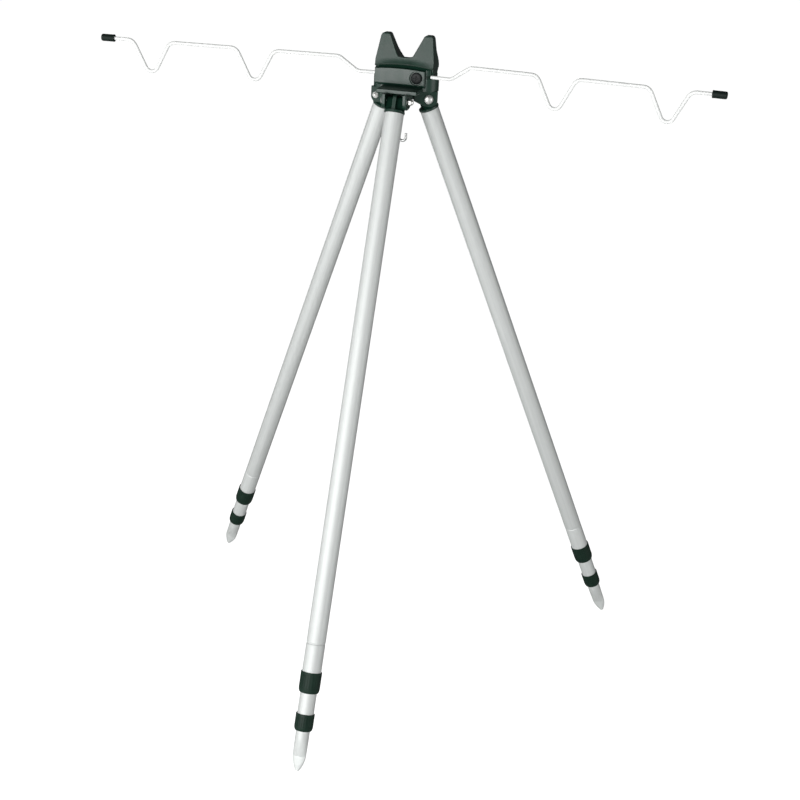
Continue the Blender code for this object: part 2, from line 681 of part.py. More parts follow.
plate_rings = [
    plate_ring(PLATE_BACK, 0.0, 0.0, 0.0),
    plate_ring(PLATE_FRONT + 0.5 * PLATE_THICKNESS, 0.0, 0.0, 0.0),
    plate_ring(PLATE_FRONT, 0.6 * PLATE_EDGE, PLATE_EDGE, 0.3 * PLATE_EDGE),
]
clamp_plate = place("clamp_plate", loft("clamp_plate", plate_rings), tripod, MOULDED)
front_spot = (SCREW_X, PLATE_FRONT, SCREW_Z)
bore = rod("counterbore", COUNTERBORE_RADIUS, -COUNTERBORE_DEPTH, 0.004, SIDES)
combine(clamp_plate, helper("counterbore", bore, tripod, front_spot, along_y), "DIFFERENCE")
bore = rod("plate_bore", SCREW_RADIUS + GAP, -0.01, 0.004)
combine(clamp_plate, helper("plate_bore", bore, tripod, front_spot, along_y), "DIFFERENCE")

# Clamp screw, drawn about local Z with its head on top, lying along Y
under_head = -COUNTERBORE_DEPTH + GAP
head_top = under_head + SCREW_HEAD_HEIGHT
screw_end = PLATE_FRONT - SEAT_FACE - SCREW_DEPTH
screw_profile = [
    (0.0, head_top),
    (0.6 * SCREW_HEAD_RADIUS, head_top),
    (SCREW_HEAD_RADIUS, head_top - 0.0007),
    (SCREW_HEAD_RADIUS, under_head),
    (SCREW_RADIUS, under_head),
    (SCREW_RADIUS, screw_end + 0.001),
    (SCREW_RADIUS - 0.0008, screw_end),
    (0.0, screw_end),
]
screw_axis = new_empty("clamp_screw_axis", front_spot, tripod, along_y)
clamp_screw = place("clamp_screw", turned("clamp_screw", screw_profile, SMALL_SIDES), screw_axis, SCREW_STEEL)
for name, long_x, long_y in (("cross_slot_a", 0.0030, 0.0005), ("cross_slot_b", 0.0005, 0.0030)):
    slot = box(name, (-long_x, -long_y, head_top - 0.0009), (long_x, long_y, head_top + 0.002))
    combine(clamp_screw, helper(name, slot, screw_axis), "DIFFERENCE")

# Wire arms
dip_vertex = ARM_DIP_DEPTH + ARM_DIP_ROUND * (1 / math.cos(ARM_DIP_SLOPE) - 1)
dip_half = dip_vertex / math.tan(ARM_DIP_SLOPE)
corners = [
    (inner_end, 0.0),
    (ARM_STEP_FROM - ARM_ROOT_X, 0.0),
    (ARM_STEP_TO - ARM_ROOT_X, ARM_RISE),
]
bends = [ARM_BEND, ARM_BEND]
for centre in ARM_DIPS:
    middle = centre - ARM_ROOT_X
    corners.append((middle - dip_half, ARM_RISE))
    corners.append((middle, ARM_RISE - dip_vertex))
    corners.append((middle + dip_half, ARM_RISE))
    bends += [ARM_BEND, ARM_DIP_ROUND, ARM_BEND]
cap_start = ARM_END - CAP_LENGTH - ARM_ROOT_X
cap_floor = ARM_END - CAP_WALL - ARM_ROOT_X
corners.append((cap_floor - GAP, ARM_RISE))
arm_path = rounded(corners, bends, 4)

# Cap and stop ring are drawn about local Z, which lies outwards along the arm
cap_end = ARM_END - ARM_ROOT_X
cap_profile = [
    (0.0, cap_end),
    (CAP_RADIUS - 0.0012, cap_end),
    (CAP_RADIUS, cap_end - 0.0012),
    (CAP_RADIUS, cap_start),
    (ARM_RADIUS + GAP, cap_start),
    (ARM_RADIUS + GAP, cap_floor),
    (0.0, cap_floor),
]
ring_start = inner_end + GAP
ring_profile = [
    (STOP_RING_RADIUS, ring_start + STOP_RING_LENGTH),
    (STOP_RING_RADIUS, ring_start),
    (ARM_RADIUS + GAP, ring_start),
    (ARM_RADIUS + GAP, ring_start + STOP_RING_LENGTH),
]
cap_mesh = turned("arm_cap", cap_profile, SMALL_SIDES)
ring_mesh = turned("arm_stop", ring_profile, SMALL_SIDES, hollow=True)
outwards = (0.0, math.pi / 2, 0.0)
for side, axis in arms.items():
    wire("arm_" + side, arm_path, ARM_RADIUS, WIRE_PAINT, axis)
    place("arm_cap_" + side, cap_mesh, axis, CAP_VINYL, (0.0, 0.0, ARM_RISE), outwards)
    place("arm_stop_" + side, ring_mesh, axis, BOLT_STEEL, rotation=outwards)

# Ballast hook, turning in a bush under the hub and kept by a ring on its shank
hook_axis = new_empty("hook_axis", (0.0, 0.0, boss_end), tripod)
bend_centre = (HOOK_CENTRE_X, HOOK_BOTTOM + HOOK_WIRE + HOOK_BEND - boss_end)
shank_top = POCKET_DEPTH - 2 * GAP
hook_path = [Vector((0.0, shank_top)), Vector((0.0, -0.0150)), Vector((-0.0004, -0.0175))]
hook_path += [Vector((HOOK_CENTRE_X - HOOK_BEND + 0.0004, bend_centre[1] + 0.0085))]
hook_path += [Vector((HOOK_CENTRE_X - HOOK_BEND, bend_centre[1] + 0.0060))]
hook_path += [Vector(spot) for spot in arc(bend_centre, HOOK_BEND, 180, 360, 8)]
hook_path += [Vector((HOOK_CENTRE_X + HOOK_BEND, bend_centre[1] + 0.0045))]
wire("hook", hook_path, HOOK_WIRE, HOOK_STEEL, hook_axis)
bush_top = 0.5 * POCKET_DEPTH
bush_profile = [
    (POCKET_RADIUS - GAP, bush_top),
    (POCKET_RADIUS - GAP, -GAP),
    (BOSS_RADIUS - 0.0006, -GAP),
    (BOSS_RADIUS - 0.0006, -0.0015),
    (HOOK_WIRE + GAP, -0.0015),
    (HOOK_WIRE + GAP, bush_top),
]
place("hook_bush", turned("hook_bush", bush_profile, 20, hollow=True), hook_axis, BUSH_NYLON)
collar_low = bush_top + GAP
collar_profile = [
    (POCKET_RADIUS - 3 * GAP, collar_low + 0.0025),
    (POCKET_RADIUS - 3 * GAP, collar_low),
    (HOOK_WIRE + GAP, collar_low),
    (HOOK_WIRE + GAP, collar_low + 0.0025),
]
place("hook_ring", turned("hook_ring", collar_profile, SMALL_SIDES, hollow=True), hook_axis, BOLT_STEEL)

# Hinge bolts, drawn about local Z and laid across each clevis, with a lock nut on the far side
bolt_face = CHEEK_OUTER + GAP
bolt_top = bolt_face + BOLT_HEAD_HEIGHT
bolt_end = -bolt_face - BOLT_NUT_LENGTH - BOLT_END
bolt_profile = [
    (0.0, bolt_top),
    (0.5 * BOLT_HEAD_RADIUS, bolt_top - 0.0005),
    (0.85 * BOLT_HEAD_RADIUS, bolt_top - 0.0015),
    (BOLT_HEAD_RADIUS, bolt_face + 0.0010),
    (BOLT_HEAD_RADIUS, bolt_face),
    (BOLT_RADIUS, bolt_face),
    (BOLT_RADIUS, bolt_end),
    (0.0, bolt_end),
]
nut_face = -bolt_face
nut_end = nut_face - BOLT_NUT_LENGTH
lock_nut_profile = [
    (BOLT_NUT_RADIUS, nut_face),
    (BOLT_NUT_RADIUS, nut_end + 0.0014),
    (0.8 * BOLT_NUT_RADIUS, nut_end + 0.0010),
    (0.75 * BOLT_NUT_RADIUS, nut_end),
    (BOLT_RADIUS + GAP, nut_end),
    (BOLT_RADIUS + GAP, nut_face),
]
bolt_mesh = turned("hinge_bolt", bolt_profile, SMALL_SIDES)
lock_nut_mesh = turned("hinge_nut", lock_nut_profile, 6, hollow=True)
for facing, clevis in clevises.items():
    place("hinge_bolt_" + facing, bolt_mesh, clevis, BOLT_STEEL, rotation=along_y)
    place("hinge_nut_" + facing, lock_nut_mesh, clevis, BOLT_STEEL, rotation=along_y)

# Plug: turned rim and spigot, tongue between the cheeks, outer rib that stops under the deck
plug_profile = [
    (0.0, -PLUG_RIM_TOP),
    (PLUG_RIM_RADIUS - 0.0005, -PLUG_RIM_TOP),
    (PLUG_RIM_RADIUS, -PLUG_RIM_TOP - 0.0006),
    (PLUG_RIM_RADIUS, -PLUG_RIM_BOTTOM),
    (UPPER_BORE - GAP, -PLUG_RIM_BOTTOM),
    (UPPER_BORE - GAP, -PLUG_END),
    (0.0, -PLUG_END),
]
stop_height = DECK_CLEARANCE - GAP


def on_leg(out, up):
    """A point of the upright clevis frame, seen from the leaning leg frame."""
    return (
        out * math.cos(SPLAY) + up * math.sin(SPLAY),
        up * math.cos(SPLAY) - out * math.sin(SPLAY),
    )


tongue = [(-TONGUE_RADIUS, -PLUG_RIM_TOP - 0.0015), (TONGUE_BARREL, -PLUG_RIM_TOP - 0.0015)]
tongue += arc((0.0, 0.0), TONGUE_BARREL, 0, 84, 4)
tongue += arc((0.0, 0.0), TONGUE_RADIUS, 110, 180, 4)
rib = [(-0.002, -PLUG_RIM_TOP - 0.0018), (RIB_FACE, -PLUG_RIM_TOP - 0.0018), (RIB_FACE, 0.0030)]
rib += [on_leg(0.0020, stop_height), on_leg(0.0, stop_height), (0.0008, 0.0065), (-0.002, 0.0062)]
plug_obj = place("plug", turned("plug", plug_profile), None, MOULDED)
half_tongue = CHEEK_INNER - GAP
plug_helpers = [
    ("tongue", slab("tongue", tongue, "Y", -half_tongue, half_tongue), "UNION", (0.0, 0.0, 0.0)),
    ("rib", slab("rib", rib, "Y", -RIB_HALF_WIDTH, RIB_HALF_WIDTH), "UNION", (0.0, 0.0, 0.0)),
    ("plug_bore", rod("plug_bore", BOLT_RADIUS + PIN_GAP, -0.02, 0.02), "DIFFERENCE", along_y),
]
for name, mesh, operation, turn in plug_helpers:
    combine(plug_obj, helper(name, mesh, rotation=turn), operation)
plug_mesh = baked(plug_obj)


def tube_profile(outer, bore, top, end, roll=None):
    """A tube wall, with a ring rolled into it at the height given."""
    outside = [(outer, -top)]
    inside = [(bore, -end)]
    if roll:
        depth = bore - roll[1]
        outside += [(outer, -roll[0] + ROLL_HALF_WIDTH), (outer - depth, -roll[0])]
        outside += [(outer, -roll[0] - ROLL_HALF_WIDTH)]
        inside += [(bore, -roll[0] - ROLL_HALF_WIDTH), (roll[1], -roll[0])]
        inside += [(bore, -roll[0] + ROLL_HALF_WIDTH)]
    outside.append((outer, -end))
    inside.append((bore, -top))
    return outside + inside


upper_roll = (UPPER_TUBE_END - STOP_RING_FROM_END, MIDDLE_RADIUS + SLIDE_GAP)
middle_roll = (MIDDLE_TUBE_END - STOP_RING_FROM_END, LOWER_RADIUS + SLIDE_GAP)
upper_profile = tube_profile(UPPER_RADIUS, UPPER_BORE, UPPER_TUBE_TOP, UPPER_TUBE_END, upper_roll)
middle_profile = tube_profile(MIDDLE_RADIUS, MIDDLE_BORE, MIDDLE_TUBE_TOP, MIDDLE_TUBE_END, middle_roll)


def bush_profile_of(outer_bore, own_bore, top):
    """Flange that slides in the outer tube, spigot held in the tube's own bore."""
    flange_top = top - GAP - BUSH_FLANGE
    spigot = own_bore - GAP
    inner = spigot - BUSH_WALL
    return [
        (outer_bore - SLIDE_GAP, -flange_top),
        (outer_bore - SLIDE_GAP, -top + GAP),
        (spigot, -top + GAP),
        (spigot, -top - BUSH_SPIGOT),
        (inner, -top - BUSH_SPIGOT),
        (inner, -flange_top),
    ]


def nut_profile(outer_tube, inner_tube, top, end, radius, taper_length):
    """A lock nut over a tube end, hollow for its collet below the tube, with a lip at its end."""
    over = outer_tube + GAP
    lip = inner_tube + SLIDE_GAP
    return [
        (radius - 0.0004, -top),
        (radius, -top - 0.0005),
        (radius, -end + taper_length),
        (radius - 0.35 * NUT_TAPER, -end + 0.35 * taper_length),
        (radius - NUT_TAPER, -end),
        (lip, -end),
        (lip, -end + NUT_LIP),
        (lip + 0.0007, -end + NUT_LIP),
        (over, -end + NUT_LIP + 0.0040),
        (over, -top),
    ]


def collet_mesh(name, outer_tube, inner_tube, tube_end, nut_end):
    """A tapered ring split along one side, between the tube end and the nut's lip."""
    inner = inner_tube + SLIDE_GAP
    top = tube_end + GAP
    low = nut_end - NUT_LIP - GAP
    points = [(outer_tube, -top), (outer_tube, -low + 0.0042), (inner + 0.0004, -low), (inner, -low), (inner, -top)]
    ring = place(name, turned(name, points, SIDES, hollow=True), None, BUSH_NYLON)
    slit = box(name + "_slit", (0.0, -0.0008, -nut_end), (0.02, 0.0008, -tube_end + 0.005))
    combine(ring, helper(name + "_slit", slit), "DIFFERENCE")
    return baked(ring)


def ring_of(half_thick, half_wide, height, power=2.0):
    """A closed ring between a circle (power 2) and a flat rounded bar (higher powers)."""
    ring = []
    for i in range(BLADE_SIDES):
        turn = 2 * math.pi * (i + 0.5) / BLADE_SIDES
        c = math.cos(turn)
        s = math.sin(turn)
        x = half_thick * math.copysign(abs(c) ** (2 / power), c)
        y = half_wide * math.copysign(abs(s) ** (2 / power), s)
        ring.append((x, y, height))
    return ring


half_thick = 0.5 * BLADE_THICKNESS
point_top = LEG_LENGTH - POINT_LENGTH
blade_top = LEG_LENGTH - BLADE_LENGTH
lower_rings = [
    ring_of(LOWER_BORE, LOWER_BORE, -(point_top - POINT_SOLID)),
    ring_of(LOWER_BORE, LOWER_BORE, -LOWER_TUBE_TOP),
    ring_of(LOWER_RADIUS, LOWER_RADIUS, -LOWER_TUBE_TOP),
    ring_of(LOWER_RADIUS, LOWER_RADIUS, -point_top),
    ring_of(0.55 * LOWER_RADIUS + 0.45 * half_thick, LOWER_RADIUS, -0.4 * point_top - 0.6 * blade_top, 2.2),
    ring_of(half_thick, BLADE_HALF_WIDTH, -blade_top, 3.0),
    ring_of(half_thick, 0.90 * BLADE_HALF_WIDTH, -blade_top - 0.32 * BLADE_LENGTH, 2.8),
    ring_of(0.97 * half_thick, 0.64 * BLADE_HALF_WIDTH, -blade_top - 0.67 * BLADE_LENGTH, 2.4),
    ring_of(TIP_RADIUS, TIP_RADIUS, -LEG_LENGTH),
]
lower_mesh = loft("lower_tube", lower_rings)
smooth(lower_mesh)

upper_nut = nut_profile(
    UPPER_RADIUS, MIDDLE_RADIUS, UPPER_NUT_TOP, UPPER_NUT_END, UPPER_NUT_RADIUS, UPPER_NUT_TAPER_LENGTH
)
lower_nut = nut_profile(
    MIDDLE_RADIUS, LOWER_RADIUS, LOWER_NUT_TOP, LOWER_NUT_END, LOWER_NUT_RADIUS, LOWER_NUT_TAPER_LENGTH
)
upper_collet = collet_mesh("upper_collet", UPPER_RADIUS, MIDDLE_RADIUS, UPPER_TUBE_END, UPPER_NUT_END)
lower_collet = collet_mesh("lower_collet", MIDDLE_RADIUS, LOWER_RADIUS, MIDDLE_TUBE_END, LOWER_NUT_END)
middle_bush = bush_profile_of(UPPER_BORE, MIDDLE_BORE, MIDDLE_TUBE_TOP)
lower_bush = bush_profile_of(MIDDLE_BORE, LOWER_BORE, LOWER_TUBE_TOP)

leg_pieces = [
    ("plug", plug_mesh, MOULDED),
    ("upper_tube", turned("upper_tube", upper_profile, SIDES, hollow=True), ANODISED),
    ("upper_nut", turned("upper_nut", upper_nut, SIDES, hollow=True), NUT_PLASTIC),
    ("upper_collet", upper_collet, BUSH_NYLON),
    ("middle_tube", turned("middle_tube", middle_profile, SIDES, hollow=True), ANODISED),
    ("middle_bush", turned("middle_bush", middle_bush, SIDES, hollow=True), BUSH_NYLON),
    ("lower_nut", turned("lower_nut", lower_nut, SIDES, hollow=True), NUT_PLASTIC),
    ("lower_collet", lower_collet, BUSH_NYLON),
    ("lower_bush", turned("lower_bush", lower_bush, SIDES, hollow=True), BUSH_NYLON),
]
for facing, leg in legs.items():
    for name, mesh, material in leg_pieces:
        place(f"{name}_{facing}", mesh, leg, material)
    twist = (0.0, 0.0, math.radians(FOOT_TWIST[facing]))
    place("lower_tube_" + facing, lower_mesh, leg, ANODISED, rotation=twist)
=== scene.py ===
# %% [markdown]
# # A surf rod tripod
# This lesson dresses a fishing tripod: three telescopic legs under a small moulded head, a V
# notch for one rod and two bent wire arms with dips for more rods. Its solids are loaded first
# as a fixed frame, and every piece made here sits on that frame and moves with it.

# %% Load the frame
import json
import math

import bmesh
import bpy
from mathutils import Matrix, Vector


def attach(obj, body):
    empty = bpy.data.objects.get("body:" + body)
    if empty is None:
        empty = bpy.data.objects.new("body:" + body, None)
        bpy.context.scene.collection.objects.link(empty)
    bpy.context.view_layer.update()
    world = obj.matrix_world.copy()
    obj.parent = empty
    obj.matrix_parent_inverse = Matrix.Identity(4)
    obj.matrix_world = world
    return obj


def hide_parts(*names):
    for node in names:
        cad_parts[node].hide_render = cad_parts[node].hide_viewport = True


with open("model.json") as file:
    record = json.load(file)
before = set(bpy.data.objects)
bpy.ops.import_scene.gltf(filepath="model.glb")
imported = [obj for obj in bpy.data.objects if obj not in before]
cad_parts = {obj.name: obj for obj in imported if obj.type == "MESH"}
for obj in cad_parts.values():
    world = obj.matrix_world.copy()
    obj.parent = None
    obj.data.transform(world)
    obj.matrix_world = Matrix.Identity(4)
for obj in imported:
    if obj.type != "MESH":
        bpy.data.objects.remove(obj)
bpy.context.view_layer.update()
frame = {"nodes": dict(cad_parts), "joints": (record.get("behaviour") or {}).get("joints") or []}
joints = {joint["name"]: joint for joint in frame["joints"]}
axis_y = joints["hook_swivel"]["pos_m"][1]

# %% [markdown]
# ## The camera
# The photograph was taken a little to the right of the front leg, from slightly above, with a
# long lens. The camera is described by where it looks, how far off it stands, how high it
# looks down and a small roll.

# %% Camera
turn, rise, roll = [math.radians(angle) for angle in (14.62, 22.28, 2.89)]
distance, focal_pixels, image_width = 1.78505, 1436.82, 800
looked_at = Vector((0.01505, axis_y, 0.33516))
backwards = Vector((math.sin(turn) * math.cos(rise), -math.cos(turn) * math.cos(rise), math.sin(rise)))
level_right = Vector((0, 0, 1)).cross(backwards).normalized()
level_up = backwards.cross(level_right)
right = math.cos(roll) * level_right + math.sin(roll) * level_up
up = math.cos(roll) * level_up - math.sin(roll) * level_right
camera_data = bpy.data.cameras.new("camera")
camera_data.sensor_width = 36
camera_data.lens = focal_pixels * camera_data.sensor_width / image_width
camera = bpy.data.objects.new("camera", camera_data)
bpy.context.scene.collection.objects.link(camera)
placing = Matrix((right, up, backwards)).transposed().to_4x4()
placing.translation = looked_at + backwards * distance
camera.matrix_world = placing
bpy.context.scene.camera = camera
print("lens", round(camera_data.lens, 1), "mm")

# %% [markdown]
# ## Studio
# The tripod stands on a pale floor in a dim room. A wide soft box stands in front, a little to
# the left, and two weak ones stand at the sides. So what faces forward has a sheen, and the
# tops, hollows and far sides of the dark plastic stay dark. The floor and the room are lifted
# to near white only where the camera sees them.

# %% Floor, room and lights
FLOOR_LIFT, ROOM_LIGHT = 0.93, 0.10


def plain_shader(name, colour, roughness):
    material = bpy.data.materials.new(name)
    material.use_nodes = True
    shader = material.node_tree.nodes["Principled BSDF"]
    shader.inputs["Base Color"].default_value = (*colour, 1)
    shader.inputs["Roughness"].default_value = roughness
    return material, shader


bpy.ops.object.select_all(action="DESELECT")
bpy.ops.mesh.primitive_plane_add(size=60, location=(0, 0, -0.0005))
floor = bpy.context.object
floor.name = "studio_floor"
floor_material, shader = plain_shader("studio_white", (0.80, 0.80, 0.80), 0.9)
shader.inputs["Emission Color"].default_value = (1.0, 1.0, 1.0, 1)
floor_seen = floor_material.node_tree.nodes.new("ShaderNodeLightPath")
lift = floor_material.node_tree.nodes.new("ShaderNodeMath")
lift.operation = "MULTIPLY"
lift.inputs[1].default_value = FLOOR_LIFT
floor_material.node_tree.links.new(floor_seen.outputs["Is Camera Ray"], lift.inputs[0])
floor_material.node_tree.links.new(lift.outputs["Value"], shader.inputs["Emission Strength"])
floor.data.materials.append(floor_material)

world = bpy.data.worlds.new("studio")
bpy.context.scene.world = world
world.use_nodes = True
world.node_tree.nodes["Background"].inputs["Color"].default_value = (0.93, 0.97, 0.95, 1)
room_seen = world.node_tree.nodes.new("ShaderNodeLightPath")
room = world.node_tree.nodes.new("ShaderNodeMath")
room.operation = "MULTIPLY_ADD"
room.inputs[1].default_value = 1 - ROOM_LIGHT
room.inputs[2].default_value = ROOM_LIGHT
world.node_tree.links.new(room_seen.outputs["Is Camera Ray"], room.inputs[0])
world.node_tree.links.new(room.outputs["Value"], world.node_tree.nodes["Background"].inputs["Strength"])
bpy.context.scene.view_settings.view_transform = "Standard"


def soft_light(name, place, size, power, target=(0.0, 0.0, 0.45)):
    data = bpy.data.lights.new(name, "AREA")
    data.shape = "RECTANGLE"
    data.size, data.size_y = size
    data.energy = power
    light = bpy.data.objects.new(name, data)
    bpy.context.scene.collection.objects.link(light)
    light.location = place
    light.rotation_euler = (Vector(place) - Vector(target)).to_track_quat("Z", "Y").to_euler()


soft_light("key", (-0.62, -2.5, 0.82), (2.4, 1.6), 76)
soft_light("left", (-2.5, -0.9, 0.60), (1.8, 1.2), 9)
soft_light("right", (2.6, -0.3, 0.55), (1.6, 1.1), 15)
print("studio ready")

# %% [markdown]
# ## Tools of the bench
# A few short helpers stand for what the hands do: clear the selection, enter edit mode, pick
# faces or points by where they are, and soften edges with a bevel. Everything is deselected
# first, because an operator acts on all that is selected.

# %% Helpers for edit mode
def put_down():
    if bpy.context.object and bpy.context.object.mode != "OBJECT":
        bpy.ops.object.mode_set(mode="OBJECT")
    bpy.ops.object.select_all(action="DESELECT")


def pick_up(piece):
    put_down()
    piece.select_set(True)
    bpy.context.view_layer.objects.active = piece


def edit(piece):
    pick_up(piece)
    bpy.ops.object.mode_set(mode="EDIT")
    bpy.ops.mesh.select_mode(type="VERT")


def pick(kind, test):
    """Select the faces, or the points, whose place and normal pass a test."""
    bpy.ops.mesh.select_mode(type=kind)
    bpy.ops.mesh.select_all(action="DESELECT")
    mesh = bpy.context.edit_object.data
    shape = bmesh.from_edit_mesh(mesh)
    for item in shape.faces if kind == "FACE" else shape.verts:
        spot = item.calc_center_median() if kind == "FACE" else item.co
        item.select_set(bool(test(spot, item.normal)))
    shape.select_flush_mode()
    bmesh.update_edit_mesh(mesh)


def close_edit(piece):
    """Turn all faces outwards and put the piece's own origin at the middle of the ground."""
    bpy.ops.mesh.select_all(action="SELECT")
    bpy.ops.mesh.normals_make_consistent(inside=False)
    bpy.ops.object.mode_set(mode="OBJECT")
    bpy.ops.object.transform_apply(location=True, rotation=True, scale=True)
    return piece


print("bench ready")

# %% [markdown]
# Three starting forms serve for nearly every piece. A turned form is a circle extruded and
# scaled ring by ring, a sheet form is an outline extruded to its thickness, and a block is cut
# from them or added to them. A bevel then rounds the sharp edges, and a weighted normal keeps
# the flat faces flat under the smooth shading.

# %% Helpers that shape and soften
def ring_stack(name, rings, sides, hollow=False):
    """A turned shape: a circle is extruded and scaled ring by ring, listed as (radius, height)."""
    put_down()
    radius, height = rings[0]
    bpy.ops.mesh.primitive_circle_add(vertices=sides, radius=radius, location=(0, 0, height))
    piece = bpy.context.object
    piece.name = name
    edit(piece)
    bpy.ops.mesh.select_all(action="SELECT")
    for (old, low), (new, high) in zip(rings, rings[1:]):
        bpy.ops.mesh.extrude_region_move(TRANSFORM_OT_translate={"value": (0, 0, high - low)})
        bpy.ops.transform.resize(value=(new / old, new / old, 1), center_override=(0, 0, high))
    if not hollow:
        bpy.ops.mesh.edge_face_add()

    def on_ring(spot, ring):
        return abs(spot.z + height - ring[1]) < 2e-6 and abs(spot.xy.length - ring[0]) < 2e-6

    if hollow:
        pick("VERT", lambda spot, normal: on_ring(spot, rings[0]) or on_ring(spot, rings[-1]))
        bpy.ops.mesh.bridge_edge_loops()
    else:
        pick("VERT", lambda spot, normal: on_ring(spot, rings[0]))
        bpy.ops.mesh.edge_face_add()
    return close_edit(piece)


def sheet_cut(name, outline, axis, low, high):
    """A slab: the points of a filled circle are moved onto an outline, which is then extruded."""
    put_down()
    bpy.ops.mesh.primitive_circle_add(vertices=len(outline), radius=0.01, fill_type="NGON")
    piece = bpy.context.object
    piece.name = name
    order = {"X": lambda u, v: (low, u, v), "Y": lambda u, v: (u, low, v), "Z": lambda u, v: (u, v, low)}
    for point, (u, v) in zip(piece.data.vertices, outline):
        point.co = order[axis](u, v)
    edit(piece)
    bpy.ops.mesh.select_all(action="SELECT")
    step = [high - low if letter == axis else 0 for letter in "XYZ"]
    bpy.ops.mesh.extrude_region_move(TRANSFORM_OT_translate={"value": step})
    return close_edit(piece)


def block(name, low, high):
    put_down()
    middle = 0.5 * (Vector(low) + Vector(high))
    bpy.ops.mesh.primitive_cube_add(size=1, location=middle, scale=Vector(high) - Vector(low))
    piece = bpy.context.object
    piece.name = name
    bpy.ops.object.transform_apply(location=True, rotation=True, scale=True)
    return piece


def arc(middle, radius, start, end, steps):
    """Points on a circle between two angles in degrees."""
    turns = [math.radians(start + (end - start) * i / steps) for i in range(steps + 1)]
    return [(middle[0] + radius * math.cos(a), middle[1] + radius * math.sin(a)) for a in turns]


def cut_away(piece, *cutters):
    """Cuts other shapes out of a piece and clears them away."""
    for cutter in cutters:
        modifier = piece.modifiers.new("cut", "BOOLEAN")
        modifier.operation = "DIFFERENCE"
        modifier.object = cutter
        pick_up(piece)
        bpy.ops.object.modifier_apply(modifier=modifier.name)
        bpy.data.objects.remove(cutter, do_unlink=True)
    return piece


def soften(piece, width, segments=3, angle=32, corner=None):
    """Rounds the sharp edges, or only those sharper than corner, and shades the rest smooth."""
    pick_up(piece)
    if width:
        modifier = piece.modifiers.new("round", "BEVEL")
        modifier.width = width
        modifier.segments = segments
        modifier.limit_method = "ANGLE"
        modifier.angle_limit = math.radians(corner or angle)
        modifier.use_clamp_overlap = False
        bpy.ops.object.modifier_apply(modifier=modifier.name)
    bpy.ops.object.shade_smooth_by_angle(angle=math.radians(angle))
    if width:
        modifier = piece.modifiers.new("flat_stays_flat", "WEIGHTED_NORMAL")
        modifier.keep_sharp = True
        modifier.weight = 100
        bpy.ops.object.modifier_apply(modifier=modifier.name)
    return piece


def joined(name, pieces):
    put_down()
    for piece in pieces:
        piece.select_set(True)
    bpy.context.view_layer.objects.active = pieces[0]
    bpy.ops.object.join()
    whole = bpy.context.object
    whole.name = name
    return whole


print("shaping helpers ready")

# %% [markdown]
# ## Placing a finished piece
# What repeats is modelled once, in its own frame, and copied. Each copy first remembers its own
# coordinates in an attribute called own_place, so that a pattern can follow a slanted leg, and
# then its place is moved into the mesh. Last it takes a finish and rides on its body.

# %% Placing
def copy_at(piece, name, placing):
    mesh = piece.data.copy()
    own = mesh.attributes.new("own_place", "FLOAT_VECTOR", "POINT")
    own.data.foreach_set("vector", [value for point in mesh.vertices for value in point.co])
    mesh.transform(placing)
    copy = bpy.data.objects.new(name, mesh)
    bpy.context.scene.collection.objects.link(copy)
    return copy


def finish_piece(piece, material, slot, body, *nodes):
    piece.data.materials.clear()
    piece.data.materials.append(material)
    if nodes:
        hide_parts(*nodes)
    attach(piece, body)
    return piece


def paint_shade(piece, material, test):
    """Gives the faces that pass a test a second finish, darker and duller: painted shade."""
    piece.data.materials.append(material)
    faces = [face for face in piece.data.polygons if test(face)]
    for face in faces:
        face.material_index = 1
    return len(faces)


def frame_of(origin, x, y, z):
    placing = Matrix((Vector(x), Vector(y), Vector(z))).transposed().to_4x4()
    placing.translation = Vector(origin)
    return placing


FACINGS = ("front", "right", "left")
head_frame = Matrix.Translation((0, axis_y, 0))
leg_frames = {}
clevis_frames = {}
for facing in FACINGS:
    fold = joints[f"leg_{facing}_fold"]
    pin = Vector(fold["axis"])
    upwards = -Vector(joints[f"middle_{facing}_slide"]["axis"])
    leg_frames[facing] = frame_of(fold["pos_m"], pin.cross(upwards), pin, upwards)
    clevis_frames[facing] = frame_of(fold["pos_m"], pin.cross(Vector((0, 0, 1))), pin, (0, 0, 1))
print("leg frames:", [tuple(round(v, 3) for v in m.translation) for m in leg_frames.values()])

# %% [markdown]
# ## Finishes
# Every finish starts from a Principled shader. The green plastic has the fine pebble of a
# textured mould, with slightly uneven gloss. The tubes are drawn and anodised, so they carry
# fine lines along their length. Values that are the same all over are set on the shader.

